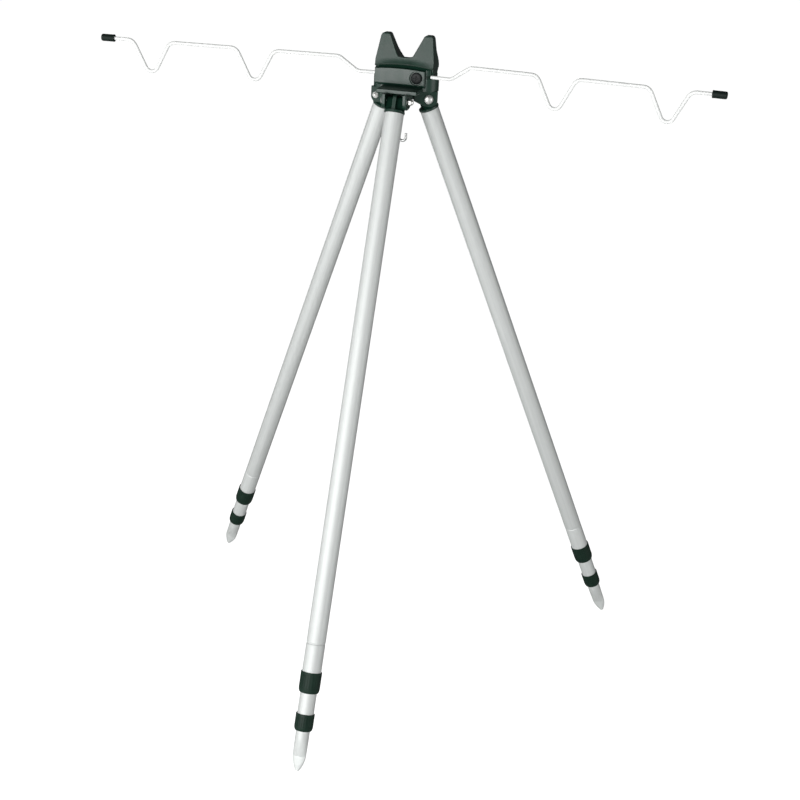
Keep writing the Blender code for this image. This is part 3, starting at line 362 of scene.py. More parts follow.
# %% Helper for patterned finishes
def grained(
    name, colours, roughness, scale, depth, metallic=0.0, specular=0.5, own=False, stretch=(1, 1, 1), cloud=90
):
    """A finish whose colour and gloss drift between two values, with a fine grain on top."""
    material, shader = plain_shader(name, colours[0], roughness[0])
    shader.inputs["Metallic"].default_value = metallic
    shader.inputs["Specular IOR Level"].default_value = specular
    nodes = material.node_tree.nodes
    links = material.node_tree.links
    if own:
        place = nodes.new("ShaderNodeAttribute")
        place.attribute_name = "own_place"
        spot = place.outputs["Vector"]
    else:
        place = nodes.new("ShaderNodeTexCoord")
        spot = place.outputs["Object"]
    mapping = nodes.new("ShaderNodeMapping")
    mapping.inputs["Scale"].default_value = stretch
    links.new(spot, mapping.inputs["Vector"])
    clouds = nodes.new("ShaderNodeTexNoise")
    clouds.inputs["Scale"].default_value = cloud
    clouds.inputs["Detail"].default_value = 3
    links.new(mapping.outputs["Vector"], clouds.inputs["Vector"])
    grain = nodes.new("ShaderNodeTexNoise")
    grain.inputs["Scale"].default_value = scale
    grain.inputs["Detail"].default_value = 2
    links.new(mapping.outputs["Vector"], grain.inputs["Vector"])
    ramp = nodes.new("ShaderNodeValToRGB")
    ramp.color_ramp.elements[0].position = 0.35
    ramp.color_ramp.elements[1].position = 0.65
    ramp.color_ramp.elements[0].color = (*colours[0], 1)
    ramp.color_ramp.elements[1].color = (*colours[1], 1)
    links.new(clouds.outputs["Fac"], ramp.inputs["Fac"])
    links.new(ramp.outputs["Color"], shader.inputs["Base Color"])
    gloss = nodes.new("ShaderNodeMapRange")
    gloss.inputs["From Min"].default_value = 0.3
    gloss.inputs["From Max"].default_value = 0.7
    gloss.inputs["To Min"].default_value = roughness[0]
    gloss.inputs["To Max"].default_value = roughness[1]
    links.new(clouds.outputs["Fac"], gloss.inputs["Value"])
    links.new(gloss.outputs["Result"], shader.inputs["Roughness"])
    bump = nodes.new("ShaderNodeBump")
    bump.inputs["Strength"].default_value = 0.5
    bump.inputs["Distance"].default_value = depth
    links.new(grain.outputs["Fac"], bump.inputs["Height"])
    links.new(bump.outputs["Normal"], shader.inputs["Normal"])
    return material


print("finish helper ready")

# %% [markdown]
# The head is moulded from one dark green plastic with a sheen. A darker, duller copy of that green is
# painted on some hollow faces as painted shade. The collars have a coarser skin, the caps are soft
# vinyl, and the hidden bushes are pale nylon, which lets a little light into itself.

# %% Plastics
moulded_green = grained(
    "moulded_green", [(0.004, 0.024, 0.015), (0.006, 0.030, 0.019)], (0.34, 0.42), 2600, 0.00004,
    specular=0.55,
)
# painted shade: a darker copy of the moulded green with almost no sheen, put on faces that should look shaded
painted_shade_green = grained(
    "painted_shade_green", [(0.003, 0.016, 0.010), (0.004, 0.019, 0.012)], (0.80, 0.90), 2600, 0.00006,
    specular=0.05,
)
collar_green = grained(
    "collar_green", [(0.005, 0.019, 0.012), (0.008, 0.025, 0.016)], (0.48, 0.58), 2200, 0.00005,
    specular=0.2,
)
cap_green = grained(
    "dipped_vinyl", [(0.004, 0.010, 0.008), (0.007, 0.014, 0.011)], (0.52, 0.64), 700, 0.00008,
    specular=0.2,
)
nylon = grained("natural_nylon", [(0.66, 0.66, 0.62), (0.72, 0.72, 0.68)], (0.42, 0.52), 1800, 0.00002)
shader = nylon.node_tree.nodes["Principled BSDF"]
shader.inputs["Subsurface Weight"].default_value = 0.15
shader.inputs["Subsurface Radius"].default_value = (0.002, 0.002, 0.0016)
print("plastics mixed")

# %% [markdown]
# ## Metals
# Anodised aluminium is a metal under a thin clear skin. Its drawn lines come from a noise that
# is stretched a hundredfold along the tube, read in the tube's own coordinates.

# %% Metals
tube_silver = grained(
    "anodised_tube", [(0.62, 0.64, 0.63), (0.67, 0.69, 0.68)], (0.58, 0.66), 3000, 0.000012,
    metallic=0.35, own=True, stretch=(1, 1, 0.01), cloud=500,
)
wire_white = grained(
    "coated_wire", [(0.80, 0.81, 0.80), (0.86, 0.87, 0.86)], (0.30, 0.38), 500, 0.00004, cloud=60
)
bright_steel = grained(
    "nickel_plate", [(0.84, 0.84, 0.82), (0.92, 0.92, 0.90)], (0.40, 0.48), 900, 0.00001,
    metallic=1.0, cloud=300,
)
dark_steel = grained(
    "blackened_screw", [(0.004, 0.006, 0.006), (0.010, 0.012, 0.012)], (0.34, 0.46), 900, 0.00002,
    specular=0.15, cloud=400,
)
zinc_wire = grained(
    "zinc_wire", [(0.55, 0.56, 0.56), (0.70, 0.70, 0.69)], (0.28, 0.40), 1200, 0.00002,
    metallic=1.0, cloud=350,
)
print("metals mixed")

# %% [markdown]
# ## Leg tubes
# Each leg has three aluminium tubes that slide in one another. A tube is a circle extruded down
# its length, round the end and back up inside. Just above its mouth a groove is rolled into the
# two outer tubes: it stops the next tube from falling out. The groove follows half a cosine
# wave, as a roller leaves it.

# %% The two outer tubes
UPPER, MIDDLE, LOWER = 0.0110, 0.0095, 0.0080
WALL = 0.0007
SLIDE = 0.0002
TIP_RADIUS = 0.0020
splay = math.acos(leg_frames["front"].col[2].z)
leg_length = (leg_frames["front"].translation.z - TIP_RADIUS * math.sin(splay)) / math.cos(splay)
LOWER_NUT_END = leg_length - 0.0465
LOWER_NUT_TOP = LOWER_NUT_END - 0.0195
UPPER_NUT_END = LOWER_NUT_TOP - 0.0240
UPPER_NUT_TOP = UPPER_NUT_END - 0.0240
UPPER_TOP, UPPER_END = 0.0145, UPPER_NUT_TOP + 0.0130
MIDDLE_TOP, MIDDLE_END = 0.0592, LOWER_NUT_TOP + 0.0085
GROOVE_UP = 0.0455


def tube(name, radius, top, end, next_radius):
    bore = radius - WALL
    groove = end - GROOVE_UP
    depth = bore - next_radius - SLIDE
    steps = [i / 6 for i in range(-6, 7)]
    wave = [(depth * 0.5 * (1 + math.cos(math.pi * t)), groove + 0.0014 * t) for t in steps]
    outside = [(radius, -top - 0.0002)] + [(radius - dip, -s) for dip, s in wave]
    outside += [(radius, -end + 0.0002), (radius - 0.0002, -end)]
    inside = [(bore + 0.0001, -end)] + [(bore - dip, -s) for dip, s in reversed(wave)] + [(bore, -top)]
    rings = [(radius - 0.0002, -top)] + outside + inside
    return soften(ring_stack(name, rings, 64, hollow=True), 0)


upper_tube = tube("upper_tube_pattern", UPPER, UPPER_TOP, UPPER_END, MIDDLE)
middle_tube = tube("middle_tube_pattern", MIDDLE, MIDDLE_TOP, MIDDLE_END, LOWER)
print("tube faces:", len(upper_tube.data.polygons), len(middle_tube.data.polygons))

# %% [markdown]
# ## The pointed tube
# The lowest tube is pressed flat at its end and cut to a point, so that it can be pushed into
# sand. Rings are extruded down the tube and each one is squeezed: narrow from front to back,
# nearly full width from side to side, then drawn in to a blunt tip.

# %% Lower tube with its point
LOWER_TOP = 0.0842
blade_top = leg_length - 0.0170
point_top = leg_length - 0.0370
squeezes = [
    (point_top, 0.0080, 0.0080),
    (point_top + 0.004, 0.0074, 0.0080),
    (point_top + 0.012, 0.0054, 0.0080),
    (blade_top, 0.0023, 0.0080),
    (blade_top + 0.0028, 0.0022, 0.00775),
    (blade_top + 0.0055, 0.0022, 0.0071),
    (blade_top + 0.0085, 0.0022, 0.0062),
    (blade_top + 0.0115, 0.0021, 0.0050),
    (blade_top + 0.0145, 0.0020, 0.0036),
    (leg_length - 0.0004, 0.00195, 0.0022),
    (leg_length, 0.0017, 0.0018),
]
lower_tube = ring_stack("lower_tube_pattern", [(LOWER, -LOWER_TOP), (LOWER, -point_top + 0.002)], 64)
edit(lower_tube)
pick("FACE", lambda spot, normal: normal.z < -0.9)
last = (point_top - 0.002, LOWER, LOWER)
for s, thick, wide in squeezes:
    bpy.ops.mesh.extrude_region_move(TRANSFORM_OT_translate={"value": (0, 0, last[0] - s)})
    scale = (thick / last[1], wide / last[2], 1)
    bpy.ops.transform.resize(value=scale, center_override=(0, 0, -s))
    last = (s, thick, wide)
close_edit(lower_tube)
print("leg length", round(leg_length, 4), "splay", round(math.degrees(splay), 2))

# %% [markdown]
# The press leaves a lip where one wall of the flattened tube is cut a little shorter than the
# other. The faces of one broad side are extruded outwards by a third of a millimetre, except
# the last few millimetres before the tip.

# %% Pressed lip on the point
edit(lower_tube)
pick("FACE", lambda spot, normal: normal.x > 0.75 and -leg_length + 0.0046 < spot.z < -blade_top + 0.0030)
bpy.ops.mesh.extrude_region_move(TRANSFORM_OT_translate={"value": (0.00035, 0, 0)})
close_edit(lower_tube)
soften(lower_tube, 0.00015, segments=1, angle=50)
soften(lower_tube, 0, angle=40)

twists = {"front": 0, "right": 60, "left": -60}
for facing in FACINGS:
    names = [("outer_tube", upper_tube, "upper_tube", f"leg_{facing}_body")]
    names += [("slide_tube", middle_tube, "middle_tube", f"middle_{facing}_body")]
    for name, pattern, node, body in names:
        piece = copy_at(pattern, f"{name}_{facing}", leg_frames[facing])
        finish_piece(piece, tube_silver, "anodised_tube", body, f"{node}_{facing}")
    twist = Matrix.Rotation(math.radians(twists[facing]), 4, "Z")
    foot = copy_at(lower_tube, f"foot_tube_{facing}", leg_frames[facing] @ twist)
    finish_piece(foot, tube_silver, "anodised_tube", f"lower_{facing}_body", f"lower_tube_{facing}")
for pattern in (upper_tube, middle_tube, lower_tube):
    bpy.data.objects.remove(pattern, do_unlink=True)
print("tubes placed")

# %% [markdown]
# ## Locking collars
# A green collar screws over each tube end and squeezes a split ring onto the next tube. Turning
# it by wet hands needs grip, so its side has shallow flutes between a plain rim above and a
# rounded nose below. The flutes are made by extruding every second strip of faces inwards.

# %% Collars
def collar(name, outer, inner, top, end, radius, nose):
    over = outer + 0.0003
    lip = inner + SLIDE
    rings = [
        (radius - 0.0005, -top),
        (radius - 0.0001, -top - 0.0002),
        (radius, -top - 0.0005),
        (radius, -top - 0.0022),
        (radius, -end + nose + 0.0008),
        (radius - 0.0001, -end + nose),
        (radius - 0.0004, -end + 0.55 * nose),
        (radius - 0.0009, -end + 0.22 * nose),
        (radius - 0.0017, -end),
        (lip, -end),
        (lip, -end + 0.0022),
        (lip + 0.0007, -end + 0.0022),
        (over, -end + 0.0062),
        (over, -top),
    ]
    piece = ring_stack(name, rings, 96, hollow=True)
    edit(piece)
    flute_top, flute_end = -top - 0.0022, -end + nose + 0.0008

    def in_flute(spot, normal):
        column = math.degrees(math.atan2(spot.y, spot.x)) % 15
        outside = spot.xy.length > radius - 0.0002
        return outside and flute_end < spot.z < flute_top and column < 7.5

    pick("FACE", in_flute)
    bpy.ops.mesh.extrude_region_shrink_fatten(TRANSFORM_OT_shrink_fatten={"value": -0.0004})
    bpy.ops.object.mode_set(mode="OBJECT")
    return soften(piece, 0.00012, segments=2, angle=28)


upper_collar = collar("upper_collar_pattern", UPPER, MIDDLE, UPPER_NUT_TOP, UPPER_NUT_END, 0.0121, 0.0045)
lower_collar = collar("lower_collar_pattern", MIDDLE, LOWER, LOWER_NUT_TOP, LOWER_NUT_END, 0.0108, 0.0040)
for facing in FACINGS:
    piece = copy_at(upper_collar, f"collar_upper_{facing}", leg_frames[facing])
    finish_piece(piece, collar_green, "nut_plastic", f"upper_nut_{facing}_body", f"upper_nut_{facing}")
    piece = copy_at(lower_collar, f"collar_lower_{facing}", leg_frames[facing])
    finish_piece(piece, collar_green, "nut_plastic", f"lower_nut_{facing}_body", f"lower_nut_{facing}")
print("collar faces:", len(upper_collar.data.polygons))
for pattern in (upper_collar, lower_collar):
    bpy.data.objects.remove(pattern, do_unlink=True)

# %% [markdown]
# ## Leg heads
# The moulded head of a leg has a round rim over the tube, a broad tongue that turns between the
# cheeks of the clevis, and a rib down its outer face. The rib meets the underside of the head
# and stops the leg at its spread. Each form is made alone and softened, and the three are joined.
# The tongue gets the darker, duller copy of the green, painted shade for the hollows beside the rib, while
# the rim and the rib have a sheen.

# %% Leg heads
rim_rings = [(0.0112, -0.0112), (0.0118, -0.0118), (0.0118, -0.0137), (0.0114, -0.0142)]
rim_rings += [(0.0100, -0.0142), (0.0100, -0.0435), (0.0095, -0.0442)]
rim = soften(ring_stack("rim", rim_rings, 64), 0)
tongue_side = [(-0.0068, -0.0127), (0.0046, -0.0127)] + arc((0, 0), 0.0046, 0, 84, 8)
tongue_side += arc((0, 0), 0.0068, 110, 180, 10)
tongue = soften(sheet_cut("tongue", tongue_side, "Y", -0.0100, 0.0100), 0.0005)
STOP_UP = 0.0075


def from_upright(out, high):
    """A point of the upright clevis, seen from the leaning leg."""
    return (out * math.cos(splay) + high * math.sin(splay), high * math.cos(splay) - out * math.sin(splay))


rib_side = [(-0.002, -0.0130), (0.0085, -0.0130), (0.0085, 0.0030), from_upright(0.0020, STOP_UP)]
rib_side += [from_upright(0.0, STOP_UP), (0.0008, 0.0065), (-0.002, 0.0062)]
rib = soften(sheet_cut("rib", rib_side, "Y", -0.00225, 0.00225), 0.0004)
rim_faces = len(rim.data.polygons)
painted_shade_tongue_faces = range(rim_faces, rim_faces + len(tongue.data.polygons))
leg_head = joined("leg_head_pattern", [rim, tongue, rib])
for facing in FACINGS:
    piece = copy_at(leg_head, f"leg_head_{facing}", leg_frames[facing])
    finish_piece(piece, moulded_green, "moulded_green", f"leg_{facing}_body", f"plug_{facing}")
    # painted shade: the tongue faces between the cheeks take the darker green
    paint_shade(piece, painted_shade_green, lambda face: face.index in painted_shade_tongue_faces)
bpy.data.objects.remove(leg_head, do_unlink=True)
print("leg heads placed")

# %% [markdown]
# ## The hub
# The hub is one moulding: a thick slab with round ends over the two rear legs, a narrower core
# on it that carries the fork, a flat deck towards the front and a boss below for the hook. The
# core is a little wider at its foot. The forms are cut where the clamp plate and the wires lie,
# softened one by one, and joined. The seat behind the plate gets the darker green as painted shade.

# %% Measures of the hub, and what is cut from it
PIN_HEIGHT = leg_frames["front"].translation.z
PIN_RADIUS = 0.0270
CHEEK = 0.0146
SLAB_TOP = 0.7315
CORE_LOW, CORE_TOP, CORE_HALF = 0.7240, 0.7450, 0.0320
FOOT_TOP, FOOT_HALF = 0.7359, 0.0342
SEAT, SEAT_RIGHT = 0.0010, 0.0265
RELIEF_LOW, RELIEF_LEFT = 0.7414, 0.0260
DECK_HALF, DECK_FRONT, DECK_BACK = 0.0235, -0.0290, 0.0100
BOSS_RADIUS, BOSS_DEPTH, POCKET_RADIUS = 0.0070, 0.0120, 0.0045
ROOT_X, ROOT_Y, ROOT_Z = 0.0340, 0.0033, 0.7333
CHANNEL, ARM_LEAN = 0.0023, math.radians(4.9)
BEYOND = 0.06
deck_low = PIN_HEIGHT + 0.0078
deck_high = deck_low + 0.0045
lobe = (PIN_RADIUS * math.cos(math.radians(30)), 0.5 * PIN_RADIUS)


def round_ended(radius, trim=None):
    side = arc(lobe, radius, -90, 90, 48)
    if trim:
        drop = math.sqrt(radius**2 - (trim - lobe[0]) ** 2)
        kept = [spot for spot in side if spot[0] < trim]
        low = [spot for spot in kept if spot[1] < lobe[1]]
        high = [spot for spot in kept if spot[1] > lobe[1]]
        side = low + [(trim, lobe[1] - drop), (trim, lobe[1] + drop)] + high
    return side + [(-x, y) for x, y in reversed(side)]


def seat_cutter():
    return block("seat", (-BEYOND, -0.5 * BEYOND, deck_high + 0.0003), (SEAT_RIGHT, SEAT, CORE_TOP + 0.015))


def wire_channels():
    """Where the two wires lie: a bore on the right, an open groove on the left."""
    bore = ring_stack("bore", [(CHANNEL, -0.012), (CHANNEL, 0.030)], 32)
    bore.data.transform(Matrix.Rotation(math.pi / 2, 4, "Y"))
    bore.data.transform(Matrix.Rotation(-ARM_LEAN, 4, "Z"))
    bore.data.transform(Matrix.Translation((ROOT_X, ROOT_Y, ROOT_Z)))
    groove = block("groove", (-0.030, -CHANNEL, -CHANNEL), (0.0147, 0.012, CHANNEL))
    turned = Matrix.Rotation(math.pi + ARM_LEAN, 4, "Z")
    groove.data.transform(Matrix.Translation((-ROOT_X, ROOT_Y, ROOT_Z)) @ turned)
    return bore, groove


print("deck from", round(deck_low, 4), "to", round(deck_high, 4))

# %% Slab, core, deck and boss
slab = sheet_cut("slab", round_ended(CHEEK + 0.0003), "Z", deck_low, SLAB_TOP)
cut_away(slab, seat_cutter(), *wire_channels())
soften(slab, 0.0005)
core = sheet_cut("core", round_ended(CHEEK, CORE_HALF), "Z", CORE_LOW, CORE_TOP)
relief = block("relief", (RELIEF_LEFT, -0.5 * BEYOND, RELIEF_LOW), (BEYOND, SEAT, CORE_TOP + 0.015))
cut_away(core, seat_cutter(), relief, *wire_channels())
soften(core, 0.0004)
core_base = sheet_cut("core_base", round_ended(CHEEK, FOOT_HALF), "Z", CORE_LOW, FOOT_TOP)
cut_away(core_base, seat_cutter(), *wire_channels())
soften(core_base, 0.0004)
deck = block("deck", (-DECK_HALF, DECK_FRONT, deck_low + 0.0003), (DECK_HALF, DECK_BACK, deck_high))
soften(deck, 0.0006)
boss_low = deck_low - BOSS_DEPTH
boss_rings = [(BOSS_RADIUS - 0.0004, boss_low), (BOSS_RADIUS, boss_low + 0.0004)]
boss = ring_stack("boss", boss_rings + [(BOSS_RADIUS, deck_low + 0.002)], 48)
pocket_rings = [(POCKET_RADIUS, boss_low - 0.0020), (POCKET_RADIUS, deck_low - 0.0020)]
soften(cut_away(boss, ring_stack("pocket", pocket_rings, 48)), 0)
print("hub forms made")

# %% [markdown]
# Each clevis has two cheeks. Seen from the side a cheek is a plate with a round lower corner,
# and seen from above it has a flat end with its outer corner rounded. The plate is cut from a
# sheet, and only what lies inside the outline seen from above is kept of it.

# %% Clevis cheeks
CHEEK_END, CORNER = 0.0112, 0.0018
TONGUE_SLOT, CHEEK_OVER = 0.0103, 0.0150
cheek_side = [(-0.0170, 0.0086), (-0.0170, -0.0020), (-0.0050, -0.0080)]
cheek_side += arc((0.0024, 0.0), 0.0090, -84, 0, 16) + [(CHEEK + 0.002, 0.0), (CHEEK + 0.002, 0.0086)]
round_end = [(-0.03, -CHEEK)] + arc((CHEEK_END - CORNER, CORNER - CHEEK), CORNER, -90, 0, 12)
round_end += arc((CHEEK_END - CORNER, CHEEK - CORNER), CORNER, 0, 90, 12) + [(-0.03, CHEEK)]
forms = [slab, core, core_base, deck, boss]
for low, high in ((-CHEEK_OVER, -TONGUE_SLOT), (TONGUE_SLOT, CHEEK_OVER)):
    cheek = sheet_cut("cheek", cheek_side, "Y", low, high)
    keep = sheet_cut("keep", round_end, "Z", -0.02, 0.02)
    modifier = cheek.modifiers.new("keep", "BOOLEAN")
    modifier.operation = "INTERSECT"
    modifier.object = keep
    pick_up(cheek)
    bpy.ops.object.modifier_apply(modifier=modifier.name)
    bpy.data.objects.remove(keep, do_unlink=True)
    soften(cheek, 0.0004)
    for facing in FACINGS:
        to_head = head_frame.inverted() @ clevis_frames[facing]
        copy = bpy.data.objects.new("cheek", cheek.data.copy())
        copy.data.transform(to_head)
        bpy.context.scene.collection.objects.link(copy)
        forms.append(copy)
    bpy.data.objects.remove(cheek, do_unlink=True)
hub = joined("hub_forms", forms)
piece = copy_at(hub, "moulded_hub", head_frame)
finish_piece(piece, moulded_green, "moulded_green", "head", "hub")
# painted shade: the recessed seat behind the clamp plate takes the darker green
paint_shade(piece, painted_shade_green, lambda face: abs(face.center.y - axis_y - SEAT) < 0.0002 and face.normal.y < -0.95)
bpy.data.objects.remove(hub, do_unlink=True)
print("hub faces:", len(piece.data.polygons))

# %% [markdown]
# ## Fork and clamp plate
# The fork with its V notch and the plate that clamps the wires have slanting faces that meet in
# crisp but not sharp edges. Their solids already have the right planes, so a copy of each is
# merged, flat neighbours are dissolved into single faces, and the sharp edges get a small radius.
# On the fork only corners beyond 45 degrees are rounded, because the shallow bends in its notch
# are too close together for a bevel.

# %% Soft-edged copies of the fork and the plate
def softened_copy(node, name, width, merge=0.00003, corner=None):
    """A copy of a solid with single flat faces and small round edges."""
    put_down()
    piece = bpy.data.objects.new(name, frame["nodes"][node].data.copy())
    bpy.context.scene.collection.objects.link(piece)
    edit(piece)
    bpy.ops.mesh.select_all(action="SELECT")
    bpy.ops.mesh.remove_doubles(threshold=0.00001)
    bpy.ops.mesh.dissolve_limited(angle_limit=math.radians(1))
    bpy.ops.mesh.remove_doubles(threshold=merge)
    bpy.ops.object.mode_set(mode="OBJECT")
    return soften(piece, width, corner=corner)


fork = softened_copy("fork", "fork_form", 0.0004, merge=0.0004, corner=45)
plate = softened_copy("clamp_plate", "wire_clamp_plate", 0.0004)
finish_piece(plate, moulded_green, "moulded_green", "head", "clamp_plate")
print("fork faces:", len(fork.data.polygons), "plate faces:", len(plate.data.polygons))

# %% [markdown]
# The fork's face does not meet its lip in a corner. It sweeps forwards onto the lip in a hollow
# curve, which follows the arch of the lip. A grid is laid on that curve point by point, extruded
# back into the fork and joined to it. The narrow front of the lip takes the duller, darker collar finish as
# painted shade.

# %% Sweep above the lip
FACE_FOOT, FACE_LEAN, FACE_FRONT = 0.7458, 0.255, -0.0002
SWEEP_HEIGHT, SWEEP_HALF, SWEEP_FRONT = 0.0060, 0.0338, -0.0009
LIP_TOP, LIP_ARCH, LIP_HALF, LIP_FRONT = 0.7465, 0.0030, 0.0345, -0.0008


def lip_top(x):
    return LIP_TOP - LIP_ARCH * (x / LIP_HALF) ** 2


put_down()
bpy.ops.mesh.primitive_grid_add(x_subdivisions=24, y_subdivisions=8, size=1)
sweep = bpy.context.object
for point in sweep.data.vertices:
    x, left = 2 * SWEEP_HALF * point.co.x, 0.5 - point.co.y
    top = FACE_FRONT - 0.00002 + FACE_LEAN * (lip_top(x) + SWEEP_HEIGHT - FACE_FOOT)
    straight = FACE_LEAN * SWEEP_HEIGHT
    hollow = top - straight - SWEEP_FRONT
    point.co = (x, top - straight * left - hollow * left**2, lip_top(x) + (1 - left) * SWEEP_HEIGHT)
edit(sweep)
bpy.ops.mesh.select_all(action="SELECT")
bpy.ops.mesh.extrude_region_move(TRANSFORM_OT_translate={"value": (0, 0.0012, 0)})
close_edit(sweep)
soften(sweep, 0, angle=40)
sweep.data.transform(head_frame)
fork = joined("notched_fork", [fork, sweep])
finish_piece(fork, moulded_green, "moulded_green", "head", "fork")
lip_front = axis_y + LIP_FRONT
# painted shade: the front of the lip takes the darker collar green with less sheen
painted_shade_lip_faces = paint_shade(fork, collar_green, lambda face: face.center.y < lip_front and face.normal.y < -0.9)
print("lip faces:", painted_shade_lip_faces)

# %% [markdown]
# ## Screw and hinge bolts
# A pan-head screw with a cross recess sits in the plate's counterbore. The hinge bolts have low
# domed heads on one side, and a small lock nut with a collar on the other.

# %% Clamp screw
screw_rings = [
    (0.0018, -0.00020),
    (0.0038, -0.00026),
    (0.0053, -0.00048),
    (0.0062, -0.00090),
    (0.0066, -0.00140),
    (0.0066, -0.00190),
    (0.0020, -0.00190),
    (0.0020, -0.01570),
]
screw = ring_stack("screw", screw_rings, 48)
cross = [block("bar", (-0.0030, -0.0005, -0.0014), (0.0030, 0.0005, 0.002))]
cross += [block("bar", (-0.0005, -0.0030, -0.0014), (0.0005, 0.0030, 0.002))]
soften(cut_away(screw, *cross), 0.0001, segments=2)
screw_joint = joints["clamp_screw_turn"]
facing_front = frame_of(screw_joint["pos_m"], (1, 0, 0), (0, 0, 1), (0, -1, 0))
piece = copy_at(screw, "cross_head_screw", facing_front)
finish_piece(piece, dark_steel, "screw_steel", "screw", "clamp_screw")
bpy.data.objects.remove(screw, do_unlink=True)
print("screw placed")

# %% [markdown]
# A hinge bolt is turned in one go, from the crown of its head to its chamfered end. The nut is a
# turned form with six sides, and its collar, which holds the locking ring, is a hollow one.

# %% Hinge bolts and lock nuts
bolt_face = CHEEK + 0.0003
bolt_rings = [
    (0.0010, bolt_face + 0.00320),
    (0.0024, bolt_face + 0.00300),
    (0.0037, bolt_face + 0.00240),
    (0.0047, bolt_face + 0.00155),
    (0.0053, bolt_face + 0.00070),
    (0.0054, bolt_face + 0.00030),
    (0.0052, bolt_face),
    (0.0020, bolt_face),
    (0.0020, -bolt_face - 0.0050),
    (0.0017, -bolt_face - 0.0053),
]
bolt = soften(ring_stack("bolt", bolt_rings, 48), 0)
nut = ring_stack("nut", [(0.0040, -bolt_face - 0.0029), (0.0040, -bolt_face)], 6)
soften(nut, 0.0002, segments=2)
ring_rings = [(0.0023, -bolt_face - 0.0043), (0.0029, -bolt_face - 0.0043), (0.0032, -bolt_face - 0.0039)]
ring_rings += [(0.0033, -bolt_face - 0.0028), (0.0023, -bolt_face - 0.0028)]
nut_ring = soften(ring_stack("nut_ring", ring_rings, 40, hollow=True), 0)
nut = joined("lock_nut_pattern", [nut, nut_ring])
for facing in FACINGS:
    across = clevis_frames[facing] @ Matrix.Rotation(math.pi / 2, 4, "X")
    piece = copy_at(bolt, f"domed_bolt_{facing}", across)
    finish_piece(piece, bright_steel, "bolt_steel", "head", f"hinge_bolt_{facing}")
    piece = copy_at(nut, f"lock_nut_{facing}", across)
    finish_piece(piece, bright_steel, "bolt_steel", "head", f"hinge_nut_{facing}")
for pattern in (bolt, nut):
    bpy.data.objects.remove(pattern, do_unlink=True)
print("fasteners placed")

# %% [markdown]
# ## Wire arms
# A rod bender turns straight wire into an arm, one bend after another. The same is done here:
# the end ring of the wire is extruded for each straight run and spun round a centre for each
# bend. The corners give the runs, so every bend takes its share off the straights beside it.

# %% Wire bender
def bent_wire(name, corners, bends, radius, sides=24):
    """A round wire through corners in the XZ plane, each inner corner bent to a radius."""
    spots = [Vector((x, 0, z)) for x, z in corners]
    headings = [(b - a).normalized() for a, b in zip(spots, spots[1:])]
    put_down()
    lay = headings[0].to_track_quat("Z", "Y").to_euler()
    bpy.ops.mesh.primitive_circle_add(vertices=sides, radius=radius, fill_type="NGON", rotation=lay)
    piece = bpy.context.object
    piece.name = name
    piece.location = spots[0]
    bpy.ops.object.transform_apply(location=True, rotation=True, scale=True)
    edit(piece)
    bpy.ops.mesh.select_all(action="SELECT")
    here = spots[0]
    for corner, before, after, bend in zip(spots[1:], headings, headings[1:] + [None], bends + [None]):
        share = 0 if after is None else bend * math.tan(0.5 * before.angle(after, 0.0))
        run = corner - before * share - here
        bpy.ops.mesh.extrude_region_move(TRANSFORM_OT_translate={"value": run})
        here = here + run
        if after is None:
            continue
        axis = before.cross(after).normalized()
        middle = here + axis.cross(before) * bend
        angle = before.angle(after)
        steps = max(4, round(math.degrees(angle) / 6))
        bpy.ops.mesh.spin(steps=steps, angle=-angle, center=middle, axis=axis)
        here = corner + after * share
    bpy.ops.mesh.select_all(action="SELECT")
    bpy.ops.mesh.remove_doubles(threshold=0.000002)
    close_edit(piece)
    return soften(piece, 0, angle=50)


WIRE, WIRE_START, WIRE_END = 0.0020, 0.0205, 0.3615
STEP_START, STEP_END = 0.0555, 0.0775
DIP_PLACES = (0.1778, 0.3037)
RISE, DIP, SLOPE, DIP_BEND, BEND = 0.0153, 0.0350, math.radians(63), 0.0078, 0.0110
vertex = DIP + DIP_BEND * (1 / math.cos(SLOPE) - 1)
half = vertex / math.tan(SLOPE)
corners = [(WIRE_START - ROOT_X, 0), (STEP_START - ROOT_X, 0), (STEP_END - ROOT_X, RISE)]
bends = [BEND, BEND]
for dip in DIP_PLACES:
    middle = dip - ROOT_X
    corners += [(middle - half, RISE), (middle, RISE - vertex), (middle + half, RISE)]
    bends += [BEND, DIP_BEND, BEND]
corners.append((WIRE_END - ROOT_X, RISE))
arm = bent_wire("arm_pattern", corners, bends, WIRE)
print("arm runs from", [round(v, 4) for v in arm.bound_box[0]], "to", [round(v, 4) for v in arm.bound_box[6]])

# %% [markdown]
# ## End caps
# A soft cap is dipped over each wire end. It swells a little at its mouth and is round at its
# closed end.

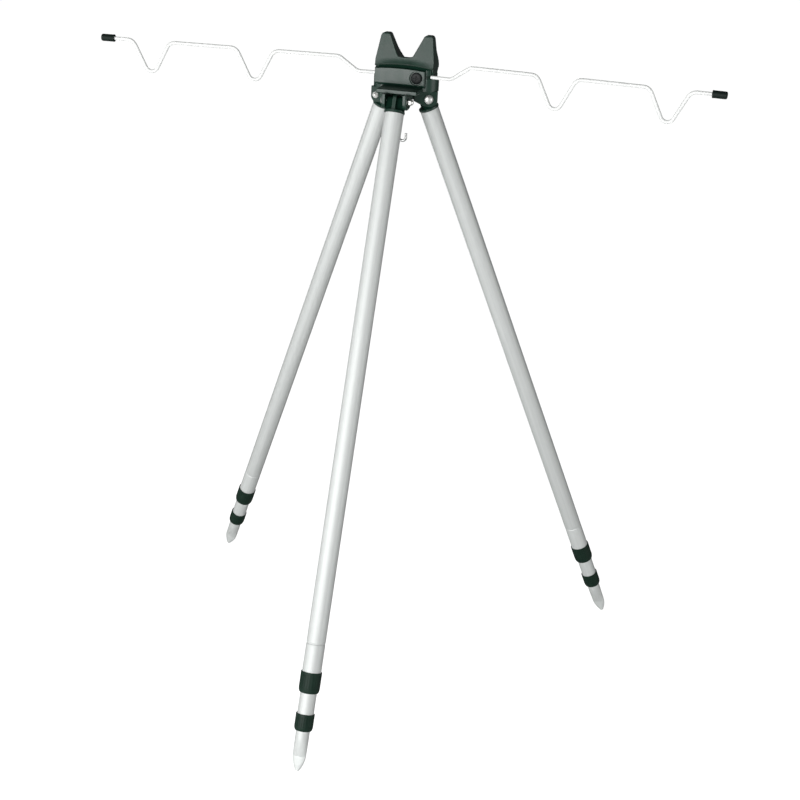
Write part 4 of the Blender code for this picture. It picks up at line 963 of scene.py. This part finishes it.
# %% Caps, and placing the arms
mouth, tip = 0.3488 - ROOT_X, 0.3648 - ROOT_X
cap_rings = [
    (0.0021, mouth + 0.0010),
    (0.0023, mouth),
    (0.0041, mouth),
    (0.0043, mouth + 0.0003),
    (0.0043, mouth + 0.0012),
    (0.00415, mouth + 0.0018),
    (0.00415, tip - 0.0020),
    (0.0040, tip - 0.0011),
    (0.0035, tip - 0.0004),
    (0.0026, tip - 0.0001),
    (0.0010, tip),
]
cap = ring_stack("cap", cap_rings, 48)
cap.data.transform(Matrix.Translation((0, 0, RISE)) @ Matrix.Rotation(math.pi / 2, 4, "Y"))
soften(cap, 0, angle=40)
for side in ("right", "left"):
    joint = joints[f"arm_{side}_roll"]
    outwards = Vector(joint["axis"])
    arm_frame = frame_of(joint["pos_m"], outwards, Vector((0, 0, 1)).cross(outwards), (0, 0, 1))
    piece = copy_at(arm, f"bent_arm_{side}", arm_frame)
    finish_piece(piece, wire_white, "wire_paint", f"arm_{side}_body", f"arm_{side}")
    piece = copy_at(cap, f"dipped_cap_{side}", arm_frame)
    finish_piece(piece, cap_green, "cap_vinyl", f"arm_{side}_body", f"arm_cap_{side}")
for pattern in (arm, cap):
    bpy.data.objects.remove(pattern, do_unlink=True)
print("arms placed")

# %% [markdown]
# ## Ballast hook
# A bag of stones or sand hangs from a small hook under the hub in a strong wind. It is bent
# from thinner wire with the same bender: a straight shank, a slight crank and a round bend.

# %% Hook
HOOK_LOW, HOOK_WIRE, HOOK_BEND = 0.6570, 0.0015, 0.0042
SHANK_TOP, SHANK_LOW, CRANK = 0.0094, -0.0160, -0.0022
CRANK_BEND, SLIVER = 0.010, 0.00001
hook_top = Vector(joints["hook_swivel"]["pos_m"])
bend_height = HOOK_LOW + HOOK_WIRE + HOOK_BEND - hook_top.z
mouth_x = CRANK + 2 * HOOK_BEND
hook_corners = [(0, SHANK_TOP), (0, SHANK_LOW), (CRANK, bend_height + 0.0080)]
hook_corners += [(CRANK, bend_height - HOOK_BEND), (mouth_x, bend_height - HOOK_BEND)]
hook_corners.append((mouth_x, bend_height + 0.0045))
tight = HOOK_BEND - SLIVER
hook = bent_wire("hook_pattern", hook_corners, [CRANK_BEND, CRANK_BEND, tight, tight], HOOK_WIRE)
piece = copy_at(hook, "ballast_hook", Matrix.Translation(hook_top))
finish_piece(piece, zinc_wire, "hook_steel", "hook_body", "hook")
bpy.data.objects.remove(hook, do_unlink=True)
print("hook placed")

# %% [markdown]
# ## Hidden pieces
# The split rings, the sliding bushes and the small stop rings sit inside the tubes and the
# head. Their solids are shown as they are, with the finish of their material.

# %% Finishes of the solids that stay
for name, node in frame["nodes"].items():
    if node.hide_render:
        continue
    steel = name.startswith(("arm_stop", "hook_ring"))
    node.data.materials.clear()
    node.data.materials.append(bright_steel if steel else nylon)
    print("kept:", name)
